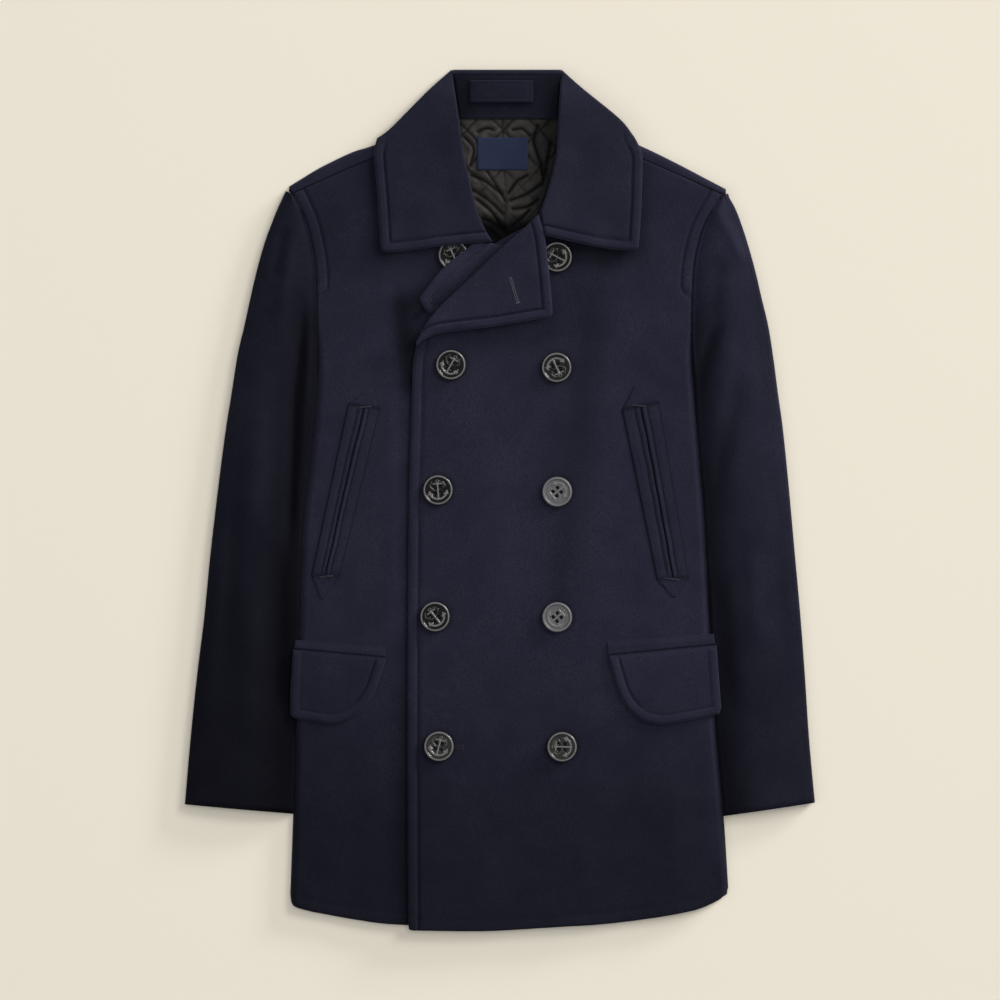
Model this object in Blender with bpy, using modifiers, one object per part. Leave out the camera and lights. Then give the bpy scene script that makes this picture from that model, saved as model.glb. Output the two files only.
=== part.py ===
"""Double-breasted pea coat in wool melton, laid flat on its back with the front up.

Lengths in the tables are millimetres. +X is the wearer's left, +Y runs to the collar, +Z is up.
The origin is the middle of the coat's footprint, on the surface that it lies on.
"""
import math

import bpy
from mathutils import Vector

MM = 0.001

# Driving dimensions
WALL = 3.0               # melton with its lining, one layer
SEAM_GAP = 0.4           # between pieces that are sewn to each other
UNDER_FRONT_TOP = 9.0    # upper face of the wearer's right front, before its crown
OVER_FRONT_TOP = 12.4    # upper face of the wearer's left front, where it laps
OVER_FRONT_SIDE = 9.3    # the same front past the hidden edge of the right one
CROWN = 1.8              # how much fuller both fronts are away from their sides
CROWN_WIDTH = 75.0       # width over which they reach it
FOLD_FADE = 0.25         # share of a fold's length over which each end fades
FOLD_EDGE = 30.0         # a fold reaches its full height this far in from the side
OVERLAP_EDGE_X = 80.0    # hidden edge of the right front
SIDE_ROLL = 7.5          # width over which a front rounds down at the side
SIDE_END = 0.55          # height at which the rolled side ends, just clear of the surface
ARMPIT_Y = 132.0         # below this the sides roll down to the surface
SLEEVE_GAP = 0.7         # a sleeve lies this far outside the side and the armhole seam
ARMHOLE_DROP = 1.0       # how far the front dips at the armhole seam
BACK_INSET = 1.5         # the back's edges lie this far inside the fronts' walls
BACK_ARMHOLE_INSET = 0.8    # and this far inside the armhole seam, where the fronts are off the surface
SEAM_SHIFT = 3.6         # sideways step from a point of the shoulder fold to its place on the seam
SHOULDER_STEP = 0.1
LAYER_GAP = 0.4          # between a piece and the one that it lies on
LAPEL_THICK = 4.4        # left lapel, two plies
LAPEL_HOVER = 15.4       # its lower face where it lies over the right lapel, before the crown
LAPEL_RISE = 3.4         # and how much higher by the collar, over the top button
LAPEL_CLEAR = 1.6        # least space to the front below it
LAPEL_LIFT = 4.6         # rise of the left front where it crosses the right lapel
UNDER_LAPEL_THICK = 3.1
BUTTON_BUMP = (18.5, 28.5)    # the right lapel comes down between these radii round the top button
COLLAR_THICK = 4.6
COLLAR_ROLL_RISE = 2.2   # extra height of a wing beside its roll line
COLLAR_ROLL_WIDTH = 40.0
COLLAR_FOLD_Z = 11.5     # height of the folded top of the collar
UNDER_WING_SEAT = (1.2, 4.2)    # over the right front, and how much more over the lapel
OVER_WING_SEAT = (1.0, 5.2)     # the same on the left
OVER_WING_SIDE_DROP = 2.0       # the left wing comes down towards its outer edge
WING_FALL = (14.0, 22.0)        # past the shoulder fold a wing reaches down over this stretch
WING_TOP_FALL = (8.0, 62.0)     # its upper face comes down to the level behind the neck
COLLAR_NECK_SEAT = 10.0
STAND_LOW_Z, STAND_RISE = 7.4, 3.0
STAND_WALL = 2.6
LINING_WALL = 1.5
LINING_TOP = 5.0
QUILT_PITCH, QUILT_SLANT, QUILT_DEPTH = 32.0, 0.85, 0.7
LABEL_Z = (6.0, 6.6)
LOOP_THICK = (1.5, 0.2)  # at its sewn ends, and how much more in the middle
LOOP_ARCH = 0.8          # how far the middle of the hanger loop stands off
SLEEVE_HEIGHT = 9.4      # of a sleeve at its two edges
SLEEVE_CROWN = 4.2       # how much higher it stands between them
SLEEVE_STEPS = 7         # spans across its upper face
SEWN_EDGE = 1.3          # half round at the armhole seam
CAP_TOP_Y, CAP_LOW_Y = 292.0, 200.0    # between these the crown grows from nothing
SLEEVE_LEAST = 7.4       # its height at the bottom of a deep fold, two walls and the air between
NECK_Y = 352.0           # top of the back panel at the neck
BAND_LOW_Y = 363.4       # lower edge of the collar that is folded away behind the neck
COLLAR_TOP_Y = 409.0
BUTTON_RADIUS = 14.3
BUTTON_THICK = 4.2
BUTTON_STANDOFF = 0.5
HOLE_RADIUS = 1.0
HOLE_OFFSET = 3.3
BUTTON_SEGMENTS = 16
HOLE_SEGMENTS = 5
FLAP_THICK = 3.6
FLAP_SEAT = 9.3          # a flap lies level where the side of the front falls away below it
JET_THICK = 2.0

# Side of the body: y, x at the wearer's right, x at the wearer's left
SIDES = (
    (-375.0, -199.5, 217.6), (-298.0, -196.7, 212.6), (-214.7, -193.8, 205.2), (-113.0, -191.0, 199.4),
    (-19.0, -187.2, 194.6), (29.5, -181.5, 190.7), (85.5, -175.8, 186.0), (133.0, -173.4, 182.8),
    (170.0, -173.9, 182.0), (215.7, -174.8, 183.8), (242.3, -178.6, 188.2), (264.1, -184.3, 195.6),
    (287.9, -194.8, 209.8), (297.4, -202.4, 217.6),
)
# Outlines, x and y
UNDER_HEM = ((-199.5, -375.0), (-197.5, -383.5), (-190.0, -388.5), (-177.7, -391.6), (-135.9, -399.0),
             (-95.0, -403.6), (0.0, -405.5), (OVERLAP_EDGE_X, -401.0))
RIGHT_SEAM = ((-197.6, 291.2), (-74.0, 346.0))     # shoulder seams, a little in front of the fold
LEFT_SEAM = ((84.0, 346.0), (212.2, 290.6))
UNDER_TOP = RIGHT_SEAM + ((-52.0, 326.0), (-42.0, 290.0), (-30.0, 260.0), (-12.0, 241.0), (30.0, 205.0),
                          (OVERLAP_EDGE_X, 158.0))
OVER_HEM = ((-87.0, -404.5), (-83.0, -408.4), (-33.0, -409.4), (0.0, -409.0), (57.0, -405.5),
            (97.9, -403.0), (139.7, -398.0), (180.5, -390.8), (205.2, -380.5), (216.8, -368.6))
OVER_EDGE = ((-87.0, -404.5), (-87.7, -330.0), (-87.7, -142.5), (-86.4, 0.0), (-84.6, 66.5), (-82.7, 127.0),
             (-79.0, 150.0))
ROLL_LINE = ((-79.0, 150.0), (-63.6, 176.0), (-28.5, 210.0), (-0.9, 236.6), (19.0, 253.6), (38.0, 272.2))
OVER_TOP = ROLL_LINE + ((52.0, 299.0), (62.0, 330.0)) + LEFT_SEAM
# Fold of the shoulder, where the back comes over to the seam: x, y
RIGHT_SHOULDER = ((-200.5, 298.0), (-187.7, 306.0), (-169.5, 316.8), (-140.6, 330.6), (-118.7, 337.7),
                  (-79.0, 355.5))
LEFT_SHOULDER = ((88.0, 356.0), (130.1, 338.2), (150.0, 329.0), (170.0, 319.0), (195.5, 305.6),
                 (214.6, 295.6))
# Sleeves: x and y of the outer edge, y of the inner edge, which follows the side of the body
RIGHT_SLEEVE = (
    (-298.6, -287.4, -296.4), (-293.5, -230.9, -236.0), (-287.0, -168.0, -171.0), (-280.0, -111.0, -112.0),
    (-273.9, -50.0, -52.0), (-266.0, 17.0, 12.0), (-259.0, 70.0, 60.0), (-254.4, 104.0, 92.0),
    (-249.8, 138.7, 124.0), (-243.8, 165.0, 148.0), (-238.6, 190.0, 170.0), (-233.1, 215.2, 193.0),
    (-226.1, 242.3, 219.0), (-218.5, 262.0, 242.0), (-211.2, 277.5, 261.0),
    (-205.8, 289.0, 275.0), (-203.4, 294.3, 288.5),
)
LEFT_SLEEVE = (
    (298.9, -283.6, -296.6), (294.0, -228.0, -236.0), (289.8, -165.0, -171.0), (285.4, -107.0, -112.0),
    (280.0, -47.0, -52.0), (274.2, 17.0, 12.0), (268.9, 68.4, 60.0), (264.4, 101.0, 92.0),
    (259.8, 136.0, 124.0), (255.0, 166.0, 148.0), (249.6, 192.0, 170.0), (244.3, 217.0, 193.0),
    (237.4, 242.3, 219.0), (229.6, 265.0, 242.0), (223.6, 277.5, 261.0), (218.4, 287.0, 275.0),
    (217.0, 291.4, 285.6),
)
# Folds: x and y where it starts, x and y where it ends, width, height (a trough is below zero)
BODY_FOLDS = (
    (-148.0, -215.0, -143.0, -470.0, 24.0, -1.2),
    (-178.0, -20.0, -176.0, -300.0, 16.0, 0.9),
    (162.0, -215.0, 168.0, -470.0, 24.0, 1.4),
    (102.0, -215.0, 98.0, -470.0, 26.0, -1.0),
    (16.0, -230.0, 20.0, -470.0, 28.0, -0.8),
)
RIGHT_SLEEVE_FOLDS = (
    (-203.0, 262.0, -213.0, 205.0, 8.0, -2.0),
    (-196.0, 250.0, -208.0, 140.0, 9.0, 1.6),
    (-185.0, 205.0, -193.0, 97.0, 8.0, -4.6),
    (-192.0, 105.0, -200.0, -70.0, 8.0, -4.4),
    (-204.0, -20.0, -208.0, -225.0, 14.0, -3.2),
    (-226.0, 150.0, -236.0, -40.0, 15.0, 2.0),
    (-232.0, -60.0, -240.0, -250.0, 14.0, 1.6),
)
LEFT_SLEEVE_FOLDS = (
    (203.0, 283.0, 236.0, 225.0, 8.0, 2.2),
    (212.0, 180.0, 188.0, 66.0, 9.0, -4.2),
    (231.0, 125.0, 197.0, -10.0, 10.0, -4.0),
    (222.0, 165.0, 200.0, 60.0, 10.0, 2.2),
    (202.0, -50.0, 215.0, -215.0, 13.0, -3.4),
    (238.0, -40.0, 247.0, -150.0, 10.0, 2.0),
    (240.0, 230.0, 256.0, 70.0, 11.0, -1.3),
)
# Collar wings: bottom edge, outer edge, folded top edge, and the roll line along the neck
RIGHT_WING = dict(
    bottom=((-108.0, 235.0), (-92.0, 236.0), (-57.0, 240.6), (-30.0, 243.6), (-7.0, 245.5)),
    outer=((-108.0, 235.0), (-112.6, 239.5), (-115.9, 282.0), (-119.4, 326.0), (-119.2, 333.0),
           (-116.8, 343.4)),
    top=((-116.8, 343.4), (-104.5, 352.4), (-84.6, 372.4), (-46.0, COLLAR_TOP_Y)),
    roll=((-7.0, 245.5), (-11.9, 252.7), (-22.4, 276.0), (-29.0, 306.0), (-34.0, 327.0), (-38.9, 362.0),
          (-46.0, COLLAR_TOP_Y)),
)
LEFT_WING = dict(
    bottom=((126.0, 237.0), (114.0, 237.2), (92.0, 240.0), (68.4, 245.0), (43.2, 250.8)),
    outer=((126.0, 237.0), (131.0, 240.4), (134.3, 282.0), (135.3, 326.0), (133.5, 333.0), (127.5, 344.6)),
    top=((127.5, 344.6), (114.0, 361.5), (80.0, 389.5), (58.4, COLLAR_TOP_Y)),
    roll=((43.2, 250.8), (38.6, 270.0), (40.0, 278.0), (46.4, 299.0), (53.0, 327.0), (55.2, 362.0),
          (58.4, COLLAR_TOP_Y)),
)
RIGHT_ROLL_X, LEFT_ROLL_X = -20.0, 48.0    # about where the wings roll over at the neck
# The collar folded away behind the neck: y, height of its upper face, x of its ends
BAND = ((BAND_LOW_Y, 3.2, -62.0, 74.0), (385.0, 3.2, -62.0, 74.0), (402.6, 3.2, -50.4, 63.0),
        (404.2, 10.6, -48.8, 61.4), (407.4, 9.6, -45.8, 58.6), (COLLAR_TOP_Y - 0.2, 5.4, -44.4, 57.2))
BAND_LOW_Z = 0.02
SURFACE_CLEAR = 0.1      # where cloth comes down to the surface it lies on
OVER_LAPEL = dict(
    bottom=((-79.6, 146.4), (-72.2, 151.6), (-58.9, 157.6), (-39.0, 160.6), (-4.8, 164.6), (29.5, 170.4),
            (46.0, 173.0)),
    outer=((46.0, 173.0), (49.6, 177.0), (46.8, 214.7), (42.6, 249.6), (36.8, 271.0)),
    roll=((-80.0, 149.6),) + ROLL_LINE[1:5] + ((36.8, 271.0),),
)
UNDER_LAPEL = dict(
    bottom=((-76.4, 190.6), (-70.6, 181.0), (-66.0, 175.6), (-50.0, 177.0)),
    outer=((-76.4, 190.6), (-72.4, 197.6), (-54.6, 219.4), (-27.6, 241.2), (-24.0, 242.6)),
    top=((-24.0, 242.6), (-10.0, 243.9), (5.0, 241.0)),
    roll=((-50.0, 177.0), (-21.0, 205.0), (5.0, 241.0)),
)
# Quilted lining at the back of the neck
LINING = dict(
    bottom=((-11.0, 240.5), (8.0, 252.0), (28.0, 262.5), (34.0, 268.0)),
    right=((34.0, 268.0), (46.0, 299.0), (55.0, 326.0), (54.0, 352.0), (54.0, 361.8)),
    top=((-37.8, 361.8), (54.0, 361.8)),
    left=((-11.0, 240.5), (-26.0, 276.0), (-34.0, 306.0), (-37.4, 327.0), (-37.8, 361.8)),
)
# Slanted pockets: lower outer, lower inner, upper inner and upper outer corners of the welts
RIGHT_WELTS = ((-179.8, -72.0), (-151.5, -72.0), (-113.4, 86.5), (-145.2, 91.0))
LEFT_WELTS = ((180.0, -73.5), (148.4, -75.5), (115.2, 85.5), (151.8, 92.5))
WELT_POINT = 14.0        # length of the stitched triangle past each end
WELT_TIP_SHIFT = 3.0     # its point leans this far with the slant of the pocket
WELT_TAPER = 0.88        # share of the way to the point that the last row reaches
WELT_ROWS = 8
WELT_STANDOFF = 0.7      # the welts' lower face over the front
WELT_END_RISE = 0.7
WELT_ACROSS = (0.0, 0.06, 0.25, 0.44, 0.5, 0.56, 0.75, 0.94, 1.0)
WELT_RISE = (0.6, 1.5, 2.1, 1.9, 0.9, 1.9, 2.1, 1.5, 0.6)    # its thickness at each of these
# Flap pockets: the flap below its seam, then the jet above it
RIGHT_FLAP = dict(
    bottom=((-199.4, -200.5), (-193.0, -207.6), (-158.7, -212.8), (-146.0, -209.6), (-130.6, -199.0)),
    inner=((-130.6, -199.0), (-119.0, -181.0), (-107.8, -149.8)),
    top=((-196.6, -141.6), (-107.8, -149.8)),
    outer=((-199.4, -200.5), (-199.0, -180.0), (-196.6, -141.6)),
    jet=((-196.0, -140.8), (-108.2, -149.0), (-109.2, -139.2), (-194.4, -132.9)),
)
LEFT_FLAP = dict(
    bottom=((210.2, -196.0), (206.0, -203.6), (158.0, -212.9), (143.0, -211.8), (127.4, -203.4)),
    inner=((127.4, -203.4), (114.0, -185.0), (102.8, -147.8)),
    top=((205.8, -137.6), (102.8, -147.8)),
    outer=((210.2, -196.0), (208.6, -177.0), (205.8, -137.6)),
    jet=((204.2, -136.8), (102.0, -146.9), (101.4, -133.6), (203.2, -127.0)),
)
# Section of a button from its centre round to its back: radius, height
BUTTON_PROFILE = ((0.0, 2.9), (8.8, 2.9), (10.6, BUTTON_THICK), (13.2, 3.9), (BUTTON_RADIUS, 2.4),
                  (11.4, 0.1), (0.0, 0.0))
# Buttons: row, x and y in the wearer's right column, then in the left column
BUTTONS = (
    (1, -44.4, 232.6, 54.2, 230.6),
    (2, -46.6, 128.3, 53.7, 125.8),
    (3, -58.9, 9.5, 54.2, 7.8),
    (4, -61.7, -110.7, 54.2, -111.2),
    (5, -58.0, -233.7, 58.9, -234.2),
)
# Corners, low left first and then round
STAND = ((-38.1, 362.6), (54.5, 362.6), (57.1, 402.9), (-43.9, 402.9))
LABEL = ((-21.8, 313.6), (26.6, 313.6), (26.6, 344.6), (-21.8, 344.6))
HANGER_LOOP = ((-28.5, 377.6), (31.6, 377.6), (31.6, 398.6), (-28.5, 398.6))

COLLECTION_NAME = "pea_coat"
CUTTERS_NAME = "cutters"


# ---------- scene and materials ----------

def clear_scene():
    for old in list(bpy.data.objects):
        bpy.data.objects.remove(old, do_unlink=True)


def make_collection(name, hidden=False):
    made = bpy.data.collections.new(name)
    made.hide_render = hidden
    bpy.context.scene.collection.children.link(made)
    return made


def cloth_material(name, colour, roughness, sheen=0.0):
    made = bpy.data.materials.new(name)
    made.use_nodes = True
    shader = made.node_tree.nodes["Principled BSDF"]
    shader.inputs["Base Color"].default_value = (*colour, 1.0)
    shader.inputs["Roughness"].default_value = roughness
    shader.inputs["Metallic"].default_value = 0.0
    shader.inputs["Sheen Weight"].default_value = sheen
    return made


# ---------- curves and heights ----------

def smooth(low, high, value):
    t = min(max((value - low) / (high - low), 0.0), 1.0)
    return t * t * (3.0 - 2.0 * t)


def table_at(rows, value, column):
    """The column's value where the first column reads value, straight between the rows."""
    if value <= rows[0][0]:
        return rows[0][column]
    for low, high in zip(rows, rows[1:]):
        if value <= high[0]:
            t = (value - low[0]) / (high[0] - low[0])
            return low[column] + t * (high[column] - low[column])
    return rows[-1][column]


def along(points, fractions):
    """Points of a polyline at fractions of its length."""
    spans = [math.dist(a, b) for a, b in zip(points, points[1:])]
    total = sum(spans)
    found = []
    for fraction in fractions:
        left, index = fraction * total, 0
        while index < len(spans) - 1 and left > spans[index]:
            left -= spans[index]
            index += 1
        t = min(left / spans[index], 1.0)
        a, b = points[index], points[index + 1]
        found.append(tuple(p + t * (q - p) for p, q in zip(a, b)))
    return found


def steps(count):
    return [i / count for i in range(count + 1)]


def crowded(count, near_start=1.0, near_end=1.0):
    """Fractions from 0 to 1 that lie closer together at an end whose power is over 1."""
    made = []
    for t in steps(count):
        start, end = t ** near_start, 1.0 - (1.0 - t) ** near_end
        made.append(start * (1.0 - t) + end * t)
    return made


def from_side(width, count):
    """Fractions across a panel: a few close together where its side rounds down, then even."""
    insets = (0.0, 0.35, 1.4, 3.2, 5.6, 8.5)
    rest = count - len(insets) + 1
    return [inset / width for inset in insets] + [
        insets[-1] / width + (1.0 - insets[-1] / width) * k / rest for k in range(1, rest + 1)]


def patch(bottom, top, left, right, across, up):
    """Rows of plan points that fill the space between four edges: bottom and top run left to
    right, left and right run bottom to top."""
    low, high = along(bottom, across), along(top, across)
    near, far = along(left, up), along(right, up)
    rows = []
    for j, v in enumerate(up):
        row = []
        for i, u in enumerate(across):
            point = []
            for axis in (0, 1):
                ruled = (1 - v) * low[i][axis] + v * high[i][axis]
                sides = (1 - u) * near[j][axis] + u * far[j][axis]
                corners = ((1 - v) * ((1 - u) * low[0][axis] + u * low[-1][axis])
                           + v * ((1 - u) * high[0][axis] + u * high[-1][axis]))
                point.append(ruled + sides - corners)
            row.append(tuple(point))
        rows.append(row)
    return rows


def side_x(y, wearers_left):
    return table_at(SIDES, y, 2 if wearers_left else 1)


def side_dip(inset, y, full):
    """How far a front lies below its level at this distance in from the side."""
    drop = ARMHOLE_DROP + (full - ARMHOLE_DROP) * (1.0 - smooth(ARMPIT_Y - 12.0, ARMPIT_Y + 40.0, y))
    t = min(max(1.0 - inset / SIDE_ROLL, 0.0), 1.0)
    return drop * (1.0 - math.sqrt(1.0 - t * t))


def folded(x, y, folds):
    """The rise, or the fall, that these folds give at this place. Each fades out at both its ends."""
    total = 0.0
    for start_x, start_y, end_x, end_y, width, height in folds:
        run_x, run_y = end_x - start_x, end_y - start_y
        t = ((x - start_x) * run_x + (y - start_y) * run_y) / (run_x * run_x + run_y * run_y)
        t = min(max(t, 0.0), 1.0)
        away = math.dist((x, y), (start_x + t * run_x, start_y + t * run_y))
        live = smooth(0.0, FOLD_FADE, t) * smooth(0.0, FOLD_FADE, 1.0 - t)
        total += height * live * math.exp(-(away / width) ** 2)
    return total


def fullness(x, y, inset):
    """What both fronts have in common: the crown and the broad folds."""
    crown = CROWN * smooth(0.0, CROWN_WIDTH, inset)
    return crown + smooth(0.0, FOLD_EDGE, inset) * folded(x, y, BODY_FOLDS)


def under_front_top(x, y):
    inset = x - side_x(y, False)
    return UNDER_FRONT_TOP + fullness(x, y, inset) - side_dip(inset, y, UNDER_FRONT_TOP - SIDE_END)


def past_roll_line(x, y):
    """Distance to the lower right of the roll line of the left front."""
    a, b = ROLL_LINE[1], ROLL_LINE[3]
    length = math.dist(a, b)
    return ((x - a[0]) * (b[1] - a[1]) - (y - a[1]) * (b[0] - a[0])) / length


def over_front_top(x, y):
    past_overlap = smooth(OVERLAP_EDGE_X + 3.0, OVERLAP_EDGE_X + 45.0, x)
    level = OVER_FRONT_TOP - (OVER_FRONT_TOP - OVER_FRONT_SIDE) * past_overlap
    lift = LAPEL_LIFT * (1.0 - smooth(24.0, 44.0, past_roll_line(x, y))) * smooth(152.0, 172.0, y)
    lift *= 1.0 - smooth(12.0, 38.0, x)
    inset = side_x(y, True) - x
    return level + lift + fullness(x, y, inset) - side_dip(inset, y, level - SIDE_END)


# ---------- mesh makers ----------

def link(name, mesh, material, collection):
    made = bpy.data.objects.new(name, mesh)
    made.data.materials.append(material)
    collection.objects.link(made)
    return made


def grid_faces(rows, columns, closed=False):
    faces = []
    for j in range(rows - 1):
        for i in range(columns if closed else columns - 1):
            k = (i + 1) % columns
            faces.append((j * columns + i, j * columns + k, (j + 1) * columns + k, (j + 1) * columns + i))
    return faces


def mesh_from(name, points, faces):
    mesh = bpy.data.meshes.new(name)
    mesh.from_pydata([(x * MM, y * MM, z * MM) for x, y, z in points], [], faces)
    mesh.shade_smooth()
    mesh.set_sharp_from_angle(angle=math.radians(40))
    return mesh


def cloth(name, rows, material, collection, wall=WALL, closed=False):
    """An open surface, its outer face given by rows of points, thickened inwards to a wall."""
    points = [point for row in rows for point in row]
    mesh = mesh_from(name, points, grid_faces(len(rows), len(rows[0]), closed))
    made = link(name, mesh, material, collection)
    thick = made.modifiers.new("wall", "SOLIDIFY")
    thick.thickness = wall * MM
    thick.offset = -1.0
    return made


def plate(name, plan, top, bottom, material, collection):
    """A closed piece lofted between an upper and a lower height over the same plan."""
    rows, columns = len(plan), len(plan[0])
    count = rows * columns
    flat = [point for row in plan for point in row]
    points = [(x, y, top(x, y)) for x, y in flat] + [(x, y, bottom(x, y)) for x, y in flat]
    upper = grid_faces(rows, columns)
    faces = upper + [tuple(count + k for k in reversed(face)) for face in upper]
    rim = (list(range(columns)) + [(j + 1) * columns - 1 for j in range(1, rows)]
           + [count - 1 - i for i in range(1, columns)]
           + [(rows - 1 - j) * columns for j in range(1, rows - 1)])
    for a, b in zip(rim, rim[1:] + rim[:1]):
        faces.append((b, a, count + a, count + b))
    return link(name, mesh_from(name, points, faces), material, collection)


def heights(plan, height):
    return [[(x, y, height(x, y)) for x, y in row] for row in plan]


# ---------- the pieces ----------

def side_edge(bottom_y, top_y, wearers_left, inset=0.0):
    """The side of the body as plan points from one y up to another."""
    sign = -1.0 if wearers_left else 1.0
    inner = [row[0] for row in SIDES if bottom_y < row[0] < top_y]
    return tuple((side_x(y, wearers_left) + sign * inset, y) for y in [bottom_y, *inner, top_y])


def seam_y(x):
    """The shoulder seam's y, just behind it, where the back's edge lies."""
    (ax, ay), (bx, by) = RIGHT_SEAM if x < 0 else LEFT_SEAM
    return ay + (x - ax) / (bx - ax) * (by - ay) + SEAM_GAP * 1.3


def shoulder_seam_x(x):
    """The seam runs square to the fold, so it lies a little nearer the neck."""
    return x + (SEAM_SHIFT if x < 0 else -SEAM_SHIFT)


def shoulder_radius(x):
    """Half the height of the fold, so that the back comes level with the front at the seam."""
    seam_x = shoulder_seam_x(x)
    top = under_front_top if x < 0 else over_front_top
    return (top(seam_x, seam_y(seam_x)) - SHOULDER_STEP) / 2.0


def make_back(material, collection):
    """Flat on the surface, then over the shoulder line to the seam on the front. Rows run from
    the hem to the neck, and only the shoulder columns carry on round the fold."""
    neck = tuple((x, NECK_Y) for x in (-50.0, -12.0, 28.0, 62.0))
    columns = RIGHT_SHOULDER + neck + LEFT_SHOULDER
    rows_up = (-402.0, -300.0, -160.0, -50.0, 20.0, 60.0, 105.0, 150.0, 180.0, 215.0, 240.0, 262.0, 284.0)
    points, index = [], {}
    for i, (x, fold) in enumerate(columns):
        across = (x - columns[0][0]) / (columns[-1][0] - columns[0][0])
        radius = 0.0 if (x, fold) in neck else shoulder_radius(x)
        for j, y in enumerate((*rows_up, fold - radius)):
            inset = WALL + BACK_INSET + (BACK_ARMHOLE_INSET - WALL - BACK_INSET) * smooth(150.0, 180.0, y)
            low, high = side_x(y, False) + inset, side_x(y, True) - inset
            even_x = low + across * (high - low)
            turn = smooth(200.0, 280.0, y)
            place = even_x + turn * (x - even_x)
            place = x if j == len(rows_up) else min(max(place, low), high)
            if j == 0:
                y = max(y, table_at(OVER_HEM, place, 1) + 1.5, table_at(UNDER_HEM, place, 1) + 1.5)
            index[i, j] = len(points)
            points.append((place, y, 0.0))
    start, arc = len(rows_up) + 1, 5
    for i, (x, fold) in enumerate(columns):
        if (x, fold) in neck:
            continue
        radius = shoulder_radius(x)
        for k in range(1, arc + 1):
            angle = math.pi * k / arc
            index[i, start + k - 1] = len(points)
            points.append((x, fold - radius + radius * math.sin(angle), radius - radius * math.cos(angle)))
        seam_x = shoulder_seam_x(x)
        index[i, start + arc] = len(points)
        points.append((seam_x, seam_y(seam_x), 2.0 * radius))
    faces = []
    for (i, j) in index:
        corners = [(i, j), (i, j + 1), (i + 1, j + 1), (i + 1, j)]
        if all(corner in index for corner in corners):
            faces.append(tuple(index[corner] for corner in corners))
    made = link("back", mesh_from("back", points, faces), material, collection)
    thick = made.modifiers.new("wall", "SOLIDIFY")
    thick.thickness = WALL * MM
    thick.offset = -1.0


def make_fronts(material, collection):
    across = from_side(280.0, 20)
    up = crowded(20, near_end=1.3)
    plan = patch(UNDER_HEM, UNDER_TOP, side_edge(-375.0, RIGHT_SEAM[0][1], False),
                 ((OVERLAP_EDGE_X, -401.0), (OVERLAP_EDGE_X, 158.0)), across, up)
    cloth("front_right", heights(plan, under_front_top), material, collection)
    across = [1.0 - t for t in reversed(from_side(300.0, 23))]
    up = crowded(22, near_end=2.1)
    plan = patch(OVER_HEM, OVER_TOP, OVER_EDGE, side_edge(-368.6, LEFT_SEAM[1][1], True), across, up)
    cloth("front_left", heights(plan, over_front_top), material, collection)


def between(rows, count):
    """The rows of a table with others put evenly between them."""
    made = []
    for low, high in zip(rows, rows[1:]):
        for t in steps(count)[:-1]:
            made.append(tuple(a + t * (b - a) for a, b in zip(low, high)))
    return made + [rows[-1]]


def sleeve_rings(rows, folds, wearers_left):
    """Rings of a flattened tube: round at the outer edge, round at the inner edge below the
    armpit, and square where it is sewn to the armhole. Its upper face is crowned and folded."""
    sign = 1.0 if wearers_left else -1.0
    rings = []
    half = SLEEVE_HEIGHT / 2.0
    turns = [math.pi * k / 4.0 for k in (1, 2, 3)]
    for outer_x, outer_y, inner_y in between(rows, 2):
        inner_x = side_x(inner_y, wearers_left) + sign * SLEEVE_GAP
        length = math.dist((outer_x, outer_y), (inner_x, inner_y))
        sewn = smooth(ARMPIT_Y - 30.0, ARMPIT_Y + 30.0, inner_y)
        end = half + (SEWN_EDGE - half) * sewn
        flat = [half + (length - half - end) * t for t in steps(SLEEVE_STEPS)]
        section = [(s, 0.0, False) for s in reversed(flat)]
        section += [(half - half * math.sin(a), half - half * math.cos(a), False) for a in turns]
        section += [(s, SLEEVE_HEIGHT, True) for s in flat]
        section += [(length - end + end * math.sin(a), half + half * math.cos(a), False) for a in turns]
        capped = smooth(CAP_TOP_Y, CAP_LOW_Y, outer_y)
        ring = []
        for s, z, upper in section:
            t = s / length
            x, y = outer_x + t * (inner_x - outer_x), outer_y + t * (inner_y - outer_y)
            if upper:
                share = (s - flat[0]) / (flat[-1] - flat[0])
                arch = math.sin(math.pi * share) ** 0.7 if 0.0 < share < 1.0 else 0.0
                rise = arch * capped * SLEEVE_CROWN + min(1.0, 1.5 * arch) * folded(x, y, folds)
                z = max(z + rise, min(z, SLEEVE_LEAST))
            ring.append((x, y, z))
        rings.append(ring[::-1] if wearers_left else ring)
    return rings


def make_sleeves(material, collection):
    for name, rows, folds, wearers_left in (("sleeve_right", RIGHT_SLEEVE, RIGHT_SLEEVE_FOLDS, False),
                                            ("sleeve_left", LEFT_SLEEVE, LEFT_SLEEVE_FOLDS, True)):
        cloth(name, sleeve_rings(rows, folds, wearers_left), material, collection, closed=True)


def past_shoulder(x, y):
    """Distance beyond the fold of the shoulder, where the collar reaches down to the surface."""
    rows = RIGHT_SHOULDER if x < 0 else LEFT_SHOULDER
    return y - table_at(rows, x, 1)


def fallen(seat, x, y):
    """A wing lies at its seat on the fronts, and past the shoulder it comes down to the surface."""
    return seat + (SURFACE_CLEAR - seat) * smooth(*WING_FALL, past_shoulder(x, y))


def under_wing_seat(x, y):
    seat, over_lapel = UNDER_WING_SEAT
    over_lapel *= smooth(300.0, 252.0, y) * smooth(-95.0, -60.0, x)
    return UNDER_FRONT_TOP + CROWN + seat + over_lapel


def over_wing_seat(x, y):
    seat, over_lapel = OVER_WING_SEAT
    over_lapel *= smooth(300.0, 250.0, y) * smooth(105.0, 75.0, x)
    side_drop = OVER_WING_SIDE_DROP * smooth(90.0, 130.0, x) * smooth(250.0, 290.0, y)
    return OVER_FRONT_TOP + CROWN + seat + over_lapel - side_drop


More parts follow.
